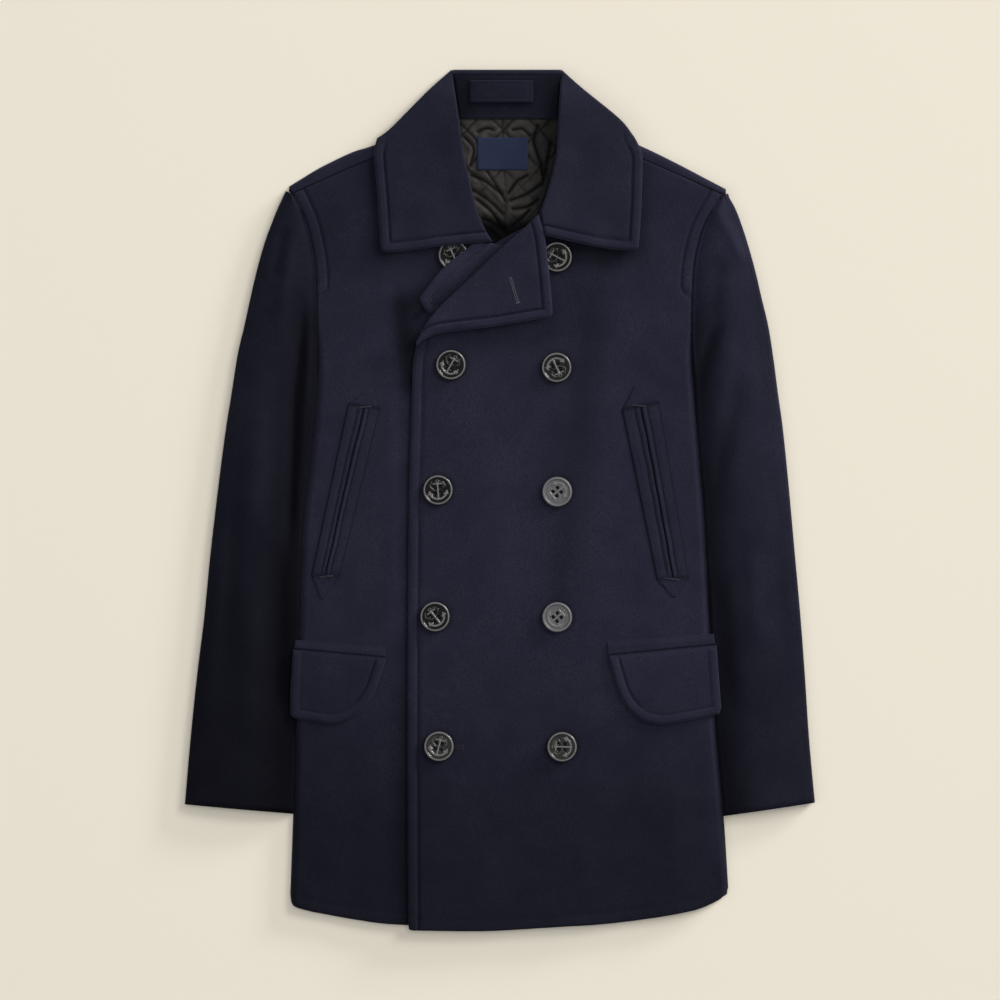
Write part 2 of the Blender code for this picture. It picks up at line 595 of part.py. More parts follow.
def wing_top(x, y, seat, inner_x):
    """The upper face comes down past the shoulder more slowly than the lower one."""
    rise = COLLAR_ROLL_RISE * (1.0 - smooth(4.0, COLLAR_ROLL_WIDTH, abs(x - inner_x)))
    lowered = (seat - COLLAR_NECK_SEAT) * smooth(*WING_TOP_FALL, past_shoulder(x, y))
    full = seat - lowered + COLLAR_THICK + rise
    return full - smooth(26.0, 2.0, COLLAR_TOP_Y - y) * (full - COLLAR_FOLD_Z)


def make_collar(material, collection, cutters):
    across, up = crowded(9, near_start=1.4, near_end=1.2), steps(10)
    right = patch(RIGHT_WING["bottom"], RIGHT_WING["top"], RIGHT_WING["outer"], RIGHT_WING["roll"],
                  across, up)
    left = patch(LEFT_WING["bottom"][::-1], LEFT_WING["top"][::-1], LEFT_WING["roll"], LEFT_WING["outer"],
                 across, up)
    collar = plate("collar", right, lambda x, y: wing_top(x, y, under_wing_seat(x, y), RIGHT_ROLL_X),
                   lambda x, y: fallen(under_wing_seat(x, y), x, y), material, collection)
    other = plate("collar_left_wing", left,
                  lambda x, y: wing_top(x, y, over_wing_seat(x, y), LEFT_ROLL_X),
                  lambda x, y: fallen(over_wing_seat(x, y), x, y), material, cutters)
    band_plan = [[(left + t * (right - left), y) for t in steps(4)] for y, _, left, right in BAND]
    top_of = {y: top for y, top, _, _ in BAND}
    band = plate("collar_back", band_plan, lambda x, y: top_of[y], lambda x, y: BAND_LOW_Z,
                 material, cutters)
    for piece in (other, band):
        piece.display_type = "WIRE"
        join = collar.modifiers.new("join " + piece.name, "BOOLEAN")
        join.operation = "UNION"
        join.object = piece


def make_stand(material, collection):
    plan = corner_patch(STAND, steps(8), steps(4))
    cloth("collar_stand", heights(plan, stand_top), material, collection, wall=STAND_WALL)


def stand_top(x, y):
    return STAND_LOW_Z + STAND_RISE * smooth(366.0, 402.0, y)


def make_lapels(material, collection):
    across, up = crowded(11, near_end=1.3), crowded(7, near_start=1.3, near_end=1.3)
    tips = (OVER_LAPEL["bottom"][0], OVER_LAPEL["roll"][0])
    over = patch(OVER_LAPEL["bottom"], OVER_LAPEL["roll"], tips, OVER_LAPEL["outer"], across, up)
    plate("lapel_left", over, lambda x, y: over_lapel_low(x, y) + LAPEL_THICK,
          over_lapel_low, material, collection)
    under = patch(UNDER_LAPEL["bottom"], UNDER_LAPEL["top"], UNDER_LAPEL["outer"], UNDER_LAPEL["roll"],
                  steps(7), steps(10))
    plate("lapel_right", under, lambda x, y: under_lapel_low(x, y) + UNDER_LAPEL_THICK,
          under_lapel_low, material, collection)


def under_lapel_low(x, y):
    """On the right front, and up over the top button of its column."""
    from_button = math.dist((x, y), BUTTONS[0][1:3])
    over_button = (BUTTON_THICK + BUTTON_STANDOFF + LAYER_GAP) * (1.0 - smooth(*BUTTON_BUMP, from_button))
    return UNDER_FRONT_TOP + CROWN + LAYER_GAP + over_button


def over_lapel_low(x, y):
    hover = LAPEL_HOVER + CROWN + LAPEL_RISE * smooth(168.0, 214.0, y)
    return max(over_front_top(x, y) + LAPEL_CLEAR, hover)


def make_lining(material, collection):
    plan = patch(LINING["bottom"], LINING["top"], LINING["left"], LINING["right"], steps(10), steps(12))
    cloth("lining", heights(plan, lining_top), material, collection, wall=LINING_WALL)


def lining_top(x, y):
    """Quilted in diamonds, padded between the stitch lines."""
    one = math.sin(math.pi * (x + y * QUILT_SLANT) / QUILT_PITCH)
    other = math.sin(math.pi * (x - y * QUILT_SLANT) / QUILT_PITCH)
    return LINING_TOP + QUILT_DEPTH * abs(one * other)


def corner_patch(corners, across, up):
    """Rows of plan points between four corners: low left, low right, high right and high left."""
    low_left, low_right, high_right, high_left = corners
    return patch((low_left, low_right), (high_left, high_right), (low_left, high_left),
                 (low_right, high_right), across, up)


def make_label(material, collection):
    low, high = LABEL_Z
    plate("neck_label", corner_patch(LABEL, steps(2), steps(2)), lambda x, y: high, lambda x, y: low,
          material, collection)


def make_hanger_loop(material, collection):
    middle = (HANGER_LOOP[0][0] + HANGER_LOOP[1][0]) / 2.0
    reach = (HANGER_LOOP[1][0] - HANGER_LOOP[0][0]) / 2.0
    thick, thicker = LOOP_THICK

    def arch(x):
        return 1.0 - (abs(x - middle) / reach) ** 4

    def low(x, y):
        return stand_top(x, y) + LAYER_GAP + LOOP_ARCH * arch(x)

    plate("hanger_loop", corner_patch(HANGER_LOOP, crowded(8, 1.5, 1.5), steps(3)),
          lambda x, y: low(x, y) + thick + thicker * arch(x), low, material, collection)


def make_welts(name, corners, top, material, collection):
    """Two jets that meet at the slit, with a pointed end stitched down above and below."""
    low_out, low_in, high_in, high_out = corners
    plan = patch((low_out, low_in), (high_out, high_in), (low_out, high_out), (low_in, high_in),
                 WELT_ACROSS, steps(WELT_ROWS))
    slant = WELT_TIP_SHIFT
    if low_out[0] > 0:
        plan = [row[::-1] for row in plan]
        slant = -WELT_TIP_SHIFT
    lower_tip = ((low_out[0] + low_in[0]) / 2.0 - slant, min(low_out[1], low_in[1]) - WELT_POINT)
    upper_tip = ((high_out[0] + high_in[0]) / 2.0 + slant, max(high_out[1], high_in[1]) + WELT_POINT)
    rows = [taper_row(plan[0], lower_tip)] + plan + [taper_row(plan[-1], upper_tip)]
    flat_ends = (WELT_END_RISE,) * len(WELT_RISE)
    rises = [flat_ends] + [WELT_RISE] * len(plan) + [flat_ends]
    rise_of = {point: rise for row, line in zip(rows, rises) for point, rise in zip(row, line)}
    plate(name, rows, lambda x, y: top(x, y) + WELT_STANDOFF + rise_of[(x, y)],
          lambda x, y: top(x, y) + WELT_STANDOFF, material, collection)


def taper_row(row, tip):
    """A row drawn most of the way in to the point."""
    return [(x + WELT_TAPER * (tip[0] - x), y + WELT_TAPER * (tip[1] - y)) for x, y in row]


def make_flap(side, flap, top, material, collection):
    left = side == "left"
    order = (lambda points: points[::-1]) if left else (lambda points: points)
    near, far = (flap["inner"], flap["outer"]) if left else (flap["outer"], flap["inner"])
    plan = patch(order(flap["bottom"]), order(flap["top"]), near, far, steps(9), crowded(5, 1.2, 1.2))

    def low(x, y):
        return max(top(x, y), FLAP_SEAT) + LAYER_GAP

    plate("pocket_flap_" + side, plan, lambda x, y: low(x, y) + FLAP_THICK, low, material, collection)
    corners = flap["jet"]
    if left:
        corners = (corners[1], corners[0], corners[3], corners[2])
    plate("pocket_jet_" + side, corner_patch(corners, steps(6), steps(2)),
          lambda x, y: low(x, y) + JET_THICK, low, material, collection)


def button_mesh(cutters, material):
    """A turned button with a raised rim, a dished face and four sewing holes."""
    outline = bpy.data.meshes.new("button_profile")
    outline.from_pydata([(r * MM, 0.0, z * MM) for r, z in BUTTON_PROFILE], [],
                        [(i, i + 1) for i in range(len(BUTTON_PROFILE) - 1)])
    turned = link("button_turned", outline, material, cutters)
    turned.display_type = "WIRE"
    screw = turned.modifiers.new("turn", "SCREW")
    screw.axis = "Z"
    screw.steps = screw.render_steps = BUTTON_SEGMENTS
    screw.use_merge_vertices = True
    screw.merge_threshold = 0.00001
    for k in range(4):
        angle = math.pi / 4 + k * math.pi / 2
        bpy.ops.mesh.primitive_cylinder_add(
            vertices=HOLE_SEGMENTS, radius=HOLE_RADIUS * MM, depth=3 * BUTTON_THICK * MM,
            location=(HOLE_OFFSET * MM * math.cos(angle), HOLE_OFFSET * MM * math.sin(angle), 0.0))
        hole = bpy.context.object
        hole.name = "sewing_hole_%d" % (k + 1)
        for old in list(hole.users_collection):
            old.objects.unlink(hole)
        cutters.objects.link(hole)
        hole.display_type = "WIRE"
        hole.hide_render = True
        cut = turned.modifiers.new("hole %d" % (k + 1), "BOOLEAN")
        cut.operation = "DIFFERENCE"
        cut.object = hole
    bpy.context.view_layer.update()
    graph = bpy.context.evaluated_depsgraph_get()
    finished = bpy.data.meshes.new_from_object(turned.evaluated_get(graph))
    finished.name = "button"
    finished.shade_smooth()
    finished.set_sharp_from_angle(angle=math.radians(35))
    turned.hide_render = True
    return finished


def make_buttons(material, collection, cutters):
    mesh = button_mesh(cutters, material)
    for row, right_x, right_y, left_x, left_y in BUTTONS:
        for side, x, y in (("right", right_x, right_y), ("left", left_x, left_y)):
            on_top = side == "left" or row > 1
            top = over_front_top if on_top else under_front_top
            seat = max(top(x + BUTTON_RADIUS * math.cos(a), y + BUTTON_RADIUS * math.sin(a))
                       for a in (math.pi * k / 4.0 for k in range(8)))
            button = bpy.data.objects.new("button_%s_%d" % (side, row), mesh)
            button.location = Vector((x, y, seat + BUTTON_STANDOFF)) * MM
            collection.objects.link(button)


def main():
    clear_scene()
    coat = make_collection(COLLECTION_NAME)
    cutters = make_collection(CUTTERS_NAME, hidden=True)
    melton = cloth_material("melton", (0.0137, 0.0144, 0.0262), 0.92, sheen=0.3)
    satin = cloth_material("lining_satin", (0.030, 0.029, 0.033), 0.42)
    woven = cloth_material("label_weave", (0.012, 0.025, 0.075), 0.6)
    horn = cloth_material("button_black", (0.018, 0.018, 0.020), 0.3)

    make_back(melton, coat)
    make_fronts(melton, coat)
    make_sleeves(melton, coat)
    make_collar(melton, coat, cutters)
    make_stand(melton, coat)
    make_lapels(melton, coat)
    make_lining(satin, coat)
    make_label(woven, coat)
    make_hanger_loop(melton, coat)
    make_welts("pocket_welts_right", RIGHT_WELTS, under_front_top, melton, coat)
    make_welts("pocket_welts_left", LEFT_WELTS, over_front_top, melton, coat)
    make_flap("right", RIGHT_FLAP, under_front_top, melton, coat)
    make_flap("left", LEFT_FLAP, over_front_top, melton, coat)
    make_buttons(horn, coat, cutters)


main()
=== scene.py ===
# %% [markdown]
# # A navy pea coat, laid flat
# This file dresses a coat whose pieces were already cut and placed as plain solids. Each cell makes one
# piece or one finish, and says what it is on the real garment, how it could be made, and why this way
# was chosen. Lengths in the tables are millimetres, as a tailor would note them, and Blender gets metres.

# %% Load the coat's own frame
import math

import bpy
import numpy as np
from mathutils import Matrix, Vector


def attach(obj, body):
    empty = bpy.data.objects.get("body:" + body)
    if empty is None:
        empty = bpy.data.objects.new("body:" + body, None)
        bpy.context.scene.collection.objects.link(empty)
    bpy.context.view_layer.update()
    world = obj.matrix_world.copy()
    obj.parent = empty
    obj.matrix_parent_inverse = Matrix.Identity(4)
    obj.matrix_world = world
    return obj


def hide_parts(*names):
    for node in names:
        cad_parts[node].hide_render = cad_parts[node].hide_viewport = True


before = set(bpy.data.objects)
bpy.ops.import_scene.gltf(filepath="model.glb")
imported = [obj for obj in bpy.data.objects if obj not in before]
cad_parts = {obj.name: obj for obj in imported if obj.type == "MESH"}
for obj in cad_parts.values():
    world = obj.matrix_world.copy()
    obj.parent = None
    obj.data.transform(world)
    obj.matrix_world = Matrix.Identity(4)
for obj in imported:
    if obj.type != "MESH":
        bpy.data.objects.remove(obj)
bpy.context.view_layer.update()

MM = 0.001
print("pieces in the frame:", len(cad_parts))

# %% [markdown]
# ## The surface, the light and the camera
# A flat garment is set out on a warm white table and seen from straight above. A large soft key lamp
# stands up and to the right, and a second one lower on the same side rakes over the cloth, so seams and
# folds stand out and each edge throws a soft shadow to the lower left. A weak fill from the other side
# and a broad box under the ceiling keep those shadows open. A single sun lamp would be simpler, but its
# shadows would be hard. A long lens far away keeps the sleeves as wide as the body.

# %% Lamps
# Name, place, size in metres, watts, colour
LAMPS = (
    ("key_softbox", (8.6, 7.0, 9.0), (6.0, 5.0), 950.0, (1.0, 0.985, 0.96)),
    ("raking_softbox", (10.8, 8.9, 3.1), (5.0, 2.4), 1600.0, (1.0, 0.99, 0.97)),
    ("fill_softbox", (-6.0, -2.4, 7.8), (7.0, 7.0), 150.0, (0.97, 0.98, 1.0)),
    ("ceiling_softbox", (0.6, 0.5, 9.0), (5.0, 5.0), 420.0, (1.0, 0.99, 0.97)),
)
ROOM_COLOUR, ROOM_LIGHT = (1.0, 0.99, 0.975, 1.0), 0.16


def lamp(name, place, size, watts, colour):
    """A soft box that looks at the middle of the coat."""
    data = bpy.data.lights.new(name, "AREA")
    data.shape = "RECTANGLE"
    data.size, data.size_y = size
    data.energy = watts
    data.color = colour
    made = bpy.data.objects.new(name, data)
    made.location = place
    made.rotation_euler = Vector(-np.array(place)).to_track_quat("-Z", "Y").to_euler()
    bpy.context.scene.collection.objects.link(made)
    return made


for row in LAMPS:
    box = lamp(*row)
box.visible_glossy = False          # the ceiling's box isn't mirrored in the buttons
world = bpy.data.worlds.new("studio")
world.use_nodes = True
room = world.node_tree.nodes["Background"].inputs
room["Color"].default_value, room["Strength"].default_value = ROOM_COLOUR, ROOM_LIGHT
bpy.context.scene.world = world
bpy.context.scene.view_settings.view_transform = "Standard"
print("lamps:", len(LAMPS), "with", sum(watts for _, _, _, watts, _ in LAMPS), "watts in all")

# %% Camera
VIEW_SIDE = 0.95            # metres of table across the view
CAMERA_HEIGHT = 6.0
CLOTH_LEVEL = 0.010         # the height at which that width is true
SENSOR = 36.0
camera_data = bpy.data.cameras.new("overhead")
camera_data.sensor_width = SENSOR
camera_data.lens = SENSOR * (CAMERA_HEIGHT - CLOTH_LEVEL) / VIEW_SIDE
camera_data.clip_end = 20.0
camera = bpy.data.objects.new("overhead", camera_data)
camera.location = (0.0, 0.0, CAMERA_HEIGHT)
bpy.context.scene.collection.objects.link(camera)
bpy.context.scene.camera = camera
print("lens %.0f mm at %.1f m" % (camera_data.lens, CAMERA_HEIGHT))

# %% [markdown]
# ## Drawing a pattern piece
# A pattern piece is four edges: bottom, top, left and right. A grid of points is stretched between
# them, much as a net is pulled into a frame, and each point is then lifted to the height of the cloth
# there. Modelling by hand would also work, but with functions one fold or one seam is a single number
# that can be changed, and the two halves of the coat can share it.

# %% Slopes and curves
def full_or_quick(full):
    return full


def smooth(low, high, value):
    """0 below low, 1 above high, and an easy slope between."""
    t = np.clip((np.asarray(value, float) - low) / (high - low), 0.0, 1.0)
    return t * t * (3.0 - 2.0 * t)


def curved(points, each=8):
    """A smooth line through a few points (Catmull-Rom)."""
    p = np.asarray(points, float)
    if len(p) < 3:
        return p
    ends = np.vstack([2 * p[0] - p[1], p, 2 * p[-1] - p[-2]])
    made = []
    for a, b, c, d in zip(ends, ends[1:], ends[2:], ends[3:]):
        for t in np.arange(each) / each:
            made.append(0.5 * (2 * b + (c - a) * t + (2 * a - 5 * b + 4 * c - d) * t * t
                               + (3 * b - a - 3 * c + d) * t ** 3))
    made.append(p[-1])
    return np.array(made)


def joined(*lines):
    """Several lines one after another, where a corner stays a corner."""
    return np.vstack([lines[0]] + [line[1:] for line in lines[1:]])


print("a curve through 3 points is drawn with", len(curved(((0, 0), (1, 1), (2, 0)))))

# %% Steps along a line
def lengths_along(line):
    return np.concatenate([[0.0], np.cumsum(np.linalg.norm(np.diff(line, axis=0), axis=1))])


def spread(line, fractions):
    """Points of a line at fractions of its length."""
    run = lengths_along(line)
    wanted = np.asarray(fractions) * run[-1]
    return np.stack([np.interp(wanted, run, line[:, k]) for k in range(line.shape[1])], axis=1)


def even(length, pitch):
    return np.linspace(0.0, 1.0, max(int(round(length / pitch)), 2) + 1)


def edged(length, pitch, rim=4.0, near=0.45, start=True, end=True, hold=0.0):
    """Fractions across a piece: even in the middle, finer by an edge, and held fine for some way from it."""
    steps, at = [0.0], 0.0
    while at < length:
        inset = min(at if start else length, length - at if end else length)
        at += near + (pitch - near) * float(smooth(hold, hold + rim, inset + near))
        steps.append(at)
    return np.array(steps) / steps[-1]


print("a net of a 300 mm panel at 3 mm has", len(edged(300.0, 3.0)), "columns")

# %% Nets and distances
def net(bottom, top, left, right, across, up):
    """Plan points that fill the space between four edges, as arrays X and Y of rows by columns."""
    low, high = spread(bottom, across), spread(top, across)
    near, far = spread(left, up), spread(right, up)
    u, v = across[None, :, None], up[:, None, None]
    ruled = (1 - v) * low[None] + v * high[None]
    sides = (1 - u) * near[:, None] + u * far[:, None]
    corners = (1 - v) * ((1 - u) * low[0] + u * low[-1]) + v * ((1 - u) * high[0] + u * high[-1])
    plan = ruled + sides - corners
    return plan[..., 0], plan[..., 1]


def quad_net(corners, across, up):
    """A net between four corners: lower left, lower right, upper right, upper left."""
    low_left, low_right, high_right, high_left = np.asarray(corners, float)
    return net(np.array((low_left, low_right)), np.array((high_left, high_right)),
               np.array((low_left, high_left)), np.array((low_right, high_right)), across, up)


def around(corners):
    """The closed outline through some corners."""
    return np.array(tuple(corners) + tuple(corners[:1]), float)


def gap_to(x, y, line, most=90):
    """Distance from each point to a line, and how far along the line the nearest place is (0 to 1)."""
    line = np.asarray(line, float)
    if len(line) > most:
        line = spread(line, np.linspace(0, 1, most))
    run = lengths_along(line)
    best = np.full(np.shape(x), 1e9)
    place = np.zeros(np.shape(x))
    for k in range(len(line) - 1):
        a, step = line[k], line[k + 1] - line[k]
        size = max(step @ step, 1e-9)
        t = np.clip(((x - a[0]) * step[0] + (y - a[1]) * step[1]) / size, 0.0, 1.0)
        d = np.hypot(x - a[0] - t * step[0], y - a[1] - t * step[1])
        closer = d < best
        best = np.where(closer, d, best)
        place = np.where(closer, (run[k] + t * math.sqrt(size)) / run[-1], place)
    return best, place


def round_edge(inset, radius):
    """How far a rounded edge lies below its level, at a distance in from it."""
    t = np.clip(1.0 - np.asarray(inset) / radius, 0.0, 1.0)
    return radius * (1.0 - np.sqrt(1.0 - t * t))


print("a round edge of 2 mm lies %.2f mm lower at half a millimetre in" % round_edge(0.5, 2.0))

# %% [markdown]
# ## Welts and folds in the cloth
# Heavy melton is edge-stitched about a centimetre in, and the stitches pull a soft trench with a full
# lip outside it. Folds are broad and soft, because the cloth is thick. Both are heights that are added
# to a panel, each with its own length, width and depth, so no two are alike.

# %% Trenches and folds
def welt(x, y, line, inset=9.2, depth=0.75, width=1.5, lip=0.35, start=0.0, end=1.0):
    """The trench of an edge stitch, and the lip between it and the edge."""
    d, at = gap_to(x, y, line)
    live = smooth(start - 0.012, start + 0.012, at) * (1.0 - smooth(end - 0.012, end + 0.012, at))
    live = np.where((start <= 0.0) & (at < 0.012), 1.0, live)
    live = np.where((end >= 1.0) & (at > 0.988), 1.0, live)
    trench = -depth * np.exp(-((d - inset) / width) ** 2)
    full = lip * smooth(0.0, inset * 0.35, d) * (1.0 - smooth(inset * 0.6, inset, d))
    return live * (trench + full)


def fold(x, y, line, width, height, skew=0.0, fade=0.25):
    """A soft ridge (or, with a minus height, a trough) along a line, fading at both of its ends."""
    line = curved(line, 5)
    d, at = gap_to(x, y, line)
    live = smooth(0.0, fade, at) * (1.0 - smooth(1.0 - fade, 1.0, at))
    wide = width * (1.0 + skew * (at - 0.5))
    return height * live * np.exp(-(d / wide) ** 2)


def swell(x, y, size, seed):
    """Slow unevenness that a pressed but used coat has everywhere, from a few waves of odd direction."""
    rng = np.random.default_rng(seed)
    total = np.zeros(np.shape(x))
    for _ in range(6):
        angle, phase = rng.uniform(0, 2 * math.pi, 2)
        pitch = size * rng.uniform(0.7, 1.6)
        total += np.sin((x * math.cos(angle) + y * math.sin(angle)) * 2 * math.pi / pitch + phase)
    return total / 6.0


straight = np.array([[0.0, -50.0], [0.0, 50.0]])
print("a welt is %.2f mm deep" % -welt(np.array([9.2]), np.array([0.0]), straight)[0])

# %% [markdown]
# ## From a net to cloth
# A thin sheet with an even wall is a surface with a Solidify modifier: the face is exact and the wall
# follows it. A piece of two or more layers, such as a collar, is two nets, upper and lower, whose
# edges curl towards each other until they meet.

# %% Sheets and slabs
def new_object(name, points, faces, finish, smooth_faces=True):
    mesh = bpy.data.meshes.new(name)
    mesh.from_pydata((np.asarray(points) * MM).tolist(), [], faces)
    made = bpy.data.objects.new(name, mesh)
    mesh.materials.append(finish)
    bpy.context.scene.collection.objects.link(made)
    if smooth_faces:
        mesh.shade_smooth()
    return made


def grid_faces(rows, columns, ring=False):
    j, i = np.meshgrid(np.arange(rows - 1), np.arange(columns if ring else columns - 1), indexing="ij")
    k = (i + 1) % columns
    low, high = j * columns, (j + 1) * columns
    quads = np.stack([low + i, low + k, high + k, high + i], axis=-1)
    return quads.reshape(-1, 4).tolist()


def sheet_of(name, x, y, z, finish, wall=3.0, ring=False, thin=None):
    """An outer face with a wall under it. thin gives the wall's share of its full thickness by point."""
    rows, columns = x.shape
    points = np.stack([x, y, z], axis=-1).reshape(-1, 3)
    made = new_object(name, points, grid_faces(rows, columns, ring), finish)
    thick = made.modifiers.new("wall", "SOLIDIFY")
    thick.thickness = wall * MM
    thick.offset = -1.0
    if thin is not None:
        group = made.vertex_groups.new(name="wall share")
        share = np.round(thin.reshape(-1), 2)
        for value in np.unique(share):
            group.add(np.flatnonzero(share == value).tolist(), float(value), "REPLACE")
        thick.vertex_group = group.name
    return made


def slab_of(name, x, y, top, low, finish):
    """A closed piece between an upper and a lower net over the same plan."""
    rows, columns = x.shape
    count = rows * columns
    points = np.concatenate([np.stack([x, y, z], axis=-1).reshape(-1, 3) for z in (top, low)])
    faces = grid_faces(rows, columns)
    faces += [tuple(count + k for k in reversed(face)) for face in faces]
    rim = (list(range(columns)) + [(j + 1) * columns - 1 for j in range(1, rows)]
           + [count - 1 - i for i in range(1, columns)]
           + [(rows - 1 - j) * columns for j in range(1, rows - 1)])
    faces += [(b, a, count + a, count + b) for a, b in zip(rim, rim[1:] + rim[:1])]
    return new_object(name, points, faces, finish)


def rounded_slab(name, x, y, top, low, finish, edges, radius=None):
    """A slab whose upper and lower faces curl together along the named edges."""
    inset = np.full(x.shape, 1e9)
    for line in edges:
        inset = np.minimum(inset, gap_to(x, y, line)[0])
    half = np.maximum((top - low) / 2.0 - 0.05, 0.05)
    reach = half if radius is None else np.minimum(half, radius)
    curl = reach * (1.0 - np.sqrt(1.0 - np.clip(1.0 - inset / np.maximum(reach, 1.2), 0.0, 1.0) ** 2))
    return slab_of(name, x, y, top - curl, low + curl, finish)


print("a sheet of 3 by 4 points has", len(grid_faces(3, 4)), "faces")

# %% Notes on a piece
def painted_stitch_shade_and_light(d, inset, dark=0.42, half=0.85, lip=0.08):
    """Painted shade along the thread of an edge stitch, and a painted highlight on the lip between it and the
    edge.
    """
    return 1.0 + lip * (1.0 - smooth(inset - 2.0, inset - 0.8, d)) - dark * np.exp(-((d - inset) / half) ** 2)


def note(piece, name, values):
    """Writes one number on each point of a piece, the same on its upper and its lower face."""
    copies = len(piece.data.vertices) // values.size
    made = piece.data.attributes.new(name, "FLOAT", "POINT")
    made.data.foreach_set("value", np.tile(values.ravel(), copies).astype(np.float32))
    return piece


finished = []
woollen = []


def sew_in(piece, nodes, slot, flat=None, held="laid", rests_on=(), area=None):
    """Attaches a piece to the root, hides the solids that it stands for, and keeps a melton piece for its
    painted tone. The cloth it was cut from (flat, held, rests_on, area) is not used.
    """
    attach(piece, "root")
    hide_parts(*nodes)
    if slot == "melton":
        woollen.append(piece)
    finished.append(piece.name)
    return piece


print("tone on a stitched line: %.2f" % painted_stitch_shade_and_light(9.2, 9.2))

# %% [markdown]
# ## Finishes
# Every finish on the coat is one shader with a few noises wired in. These helpers make the shader, mix
# two colours by a value, and stack layers of bump. They save writing each wire by hand, and a finish
# made this way keeps its real scale on every piece.

# %% Node helpers
def finish_of(name, colour, roughness, **sockets):
    """A new material, its shader, and a helper that adds and wires nodes."""
    made = bpy.data.materials.new(name)
    made.use_nodes = True
    made.diffuse_color = (*colour, 1.0)
    tree = made.node_tree
    shader = tree.nodes["Principled BSDF"]
    shader.inputs["Base Color"].default_value = (*colour, 1.0)
    shader.inputs["Roughness"].default_value = roughness
    for socket, value in sockets.items():
        shader.inputs[socket.replace("_", " ")].default_value = value

    def add(kind, wires=(), **settings):
        """A node. A capitalised setting is a socket, with _ for a space, and the rest are properties."""
        node = tree.nodes.new(kind)
        for key, value in settings.items():
            if key.replace("_", " ") in node.inputs:
                node.inputs[key.replace("_", " ")].default_value = value
            else:
                setattr(node, key, value)
        for socket, source in dict(wires).items():
            tree.links.new(source, node.inputs[socket])
        return node

    return made, shader, add, tree


def times(add, value, factor):
    """A value multiplied by a number."""
    node = add("ShaderNodeMath", {0: value}, operation="MULTIPLY")
    node.inputs[1].default_value = factor
    return node.outputs["Value"]


def mixed(add, amount, first, second):
    node = add("ShaderNodeMix", data_type="RGBA")
    tree = node.id_data
    tree.links.new(amount, node.inputs["Factor"])
    for socket, value in (("A", first), ("B", second)):
        target = [s for s in node.inputs if s.name == socket and s.type == "RGBA"][0]
        if hasattr(value, "links"):
            tree.links.new(value, target)
        else:
            target.default_value = (*value, 1.0)
    return [s for s in node.outputs if s.type == "RGBA"][0]


def bumped(add, shader, tree, layers):
    """Stacks bump layers, each a height output, its strength and its depth in metres."""
    normal = None
    for height, strength, depth in layers:
        node = add("ShaderNodeBump", {"Height": height}, Strength=strength, Distance=depth)
        if normal is not None:
            tree.links.new(normal, node.inputs["Normal"])
        normal = node.outputs["Normal"]
    tree.links.new(normal, shader.inputs["Normal"])


print("finishes so far:", len(bpy.data.materials))

# %% [markdown]
# ## The table top
# Warm white card, matt, with a grain so fine that it only breaks up the light a little. One flat plane
# with a procedural finish does it, and it takes the soft shadows that show how thin the cloth lies.

# %% Table top
TABLE_COLOUR = (0.700, 0.657, 0.566)
TABLE_LEVEL = -0.0006       # in metres, just clear of the cloth
bpy.ops.mesh.primitive_plane_add(size=8.0, location=(0.0, 0.0, TABLE_LEVEL))
table_top = bpy.context.object
table_top.name = "table_top"
card, card_shader, add_card, card_tree = finish_of("warm_card", TABLE_COLOUR, 0.9, Specular_IOR_Level=0.1)
grain = add_card("ShaderNodeTexNoise", Scale=300.0)
bumped(add_card, card_shader, card_tree, ((grain.outputs["Fac"], 0.04, 0.0005),))
table_top.data.materials.append(card)
print("table top laid at %.1f mm" % (TABLE_LEVEL / MM))

# %% [markdown]
# ## Navy melton
# Melton is wool that was woven, then felted and shorn until the weave is gone. What is left to see is a
# short nap, brushed down the coat, faint mottling where the dye took unevenly, and a pale bloom where
# the cloth turns away from the eye. An image could hold all that, but noise in the object's own
# space needs no unwrapping, keeps its real scale on every piece, and carries over each seam.

# %% The melton
MELTON_DEEP = (0.0092, 0.0092, 0.0198)
MELTON_PALE = (0.0202, 0.0206, 0.0352)
SHEEN = 0.13


def melton_finish(name, deep=MELTON_DEEP, pale=MELTON_PALE):
    middle = tuple((a + b) / 2 for a, b in zip(deep, pale))
    made, shader, add, tree = finish_of(name, middle, 0.88, Specular_IOR_Level=0.085, Sheen_Roughness=0.42,
                                        Sheen_Tint=(0.55, 0.60, 0.95, 1.0))
    space = add("ShaderNodeTexCoord").outputs["Object"]
    brushed = add("ShaderNodeMapping", {"Vector": space}, Scale=(1.0, 0.38, 1.0)).outputs["Vector"]
    nap = add("ShaderNodeTexNoise", {"Vector": brushed}, Scale=1500.0, Detail=3.0).outputs["Fac"]
    tufts = add("ShaderNodeTexNoise", {"Vector": brushed}, Scale=420.0, Detail=2.0).outputs["Fac"]
    dye = add("ShaderNodeTexNoise", {"Vector": space}, Scale=32.0, Detail=3.0).outputs["Fac"]
    fleck = add("ShaderNodeMapRange", {"Value": nap}, From_Min=0.32, From_Max=0.70).outputs["Result"]
    cloud = add("ShaderNodeMapRange", {"Value": dye}, From_Min=0.36, From_Max=0.64).outputs["Result"]
    blend = add("ShaderNodeMath", {0: fleck, 1: cloud}, operation="MULTIPLY").outputs["Value"]
    lift = add("ShaderNodeMath", {0: fleck, 1: blend}, operation="ADD").outputs["Value"]
    cloth_colour = mixed(add, times(add, lift, 0.5), deep, pale)
    # The point value nap is painted light and shade: the cloth's colour and sheen are multiplied by it.
    tone = add("ShaderNodeAttribute", attribute_name="nap").outputs["Fac"]
    shaded = add("ShaderNodeVectorMath", {0: cloth_colour, 1: tone}, operation="MULTIPLY").outputs["Vector"]
    tree.links.new(shaded, shader.inputs["Base Color"])
    tree.links.new(times(add, tone, SHEEN), shader.inputs["Sheen Weight"])
    bumped(add, shader, tree, ((tufts, 0.35, 0.0005), (nap, 0.45, 0.00025)))
    return made


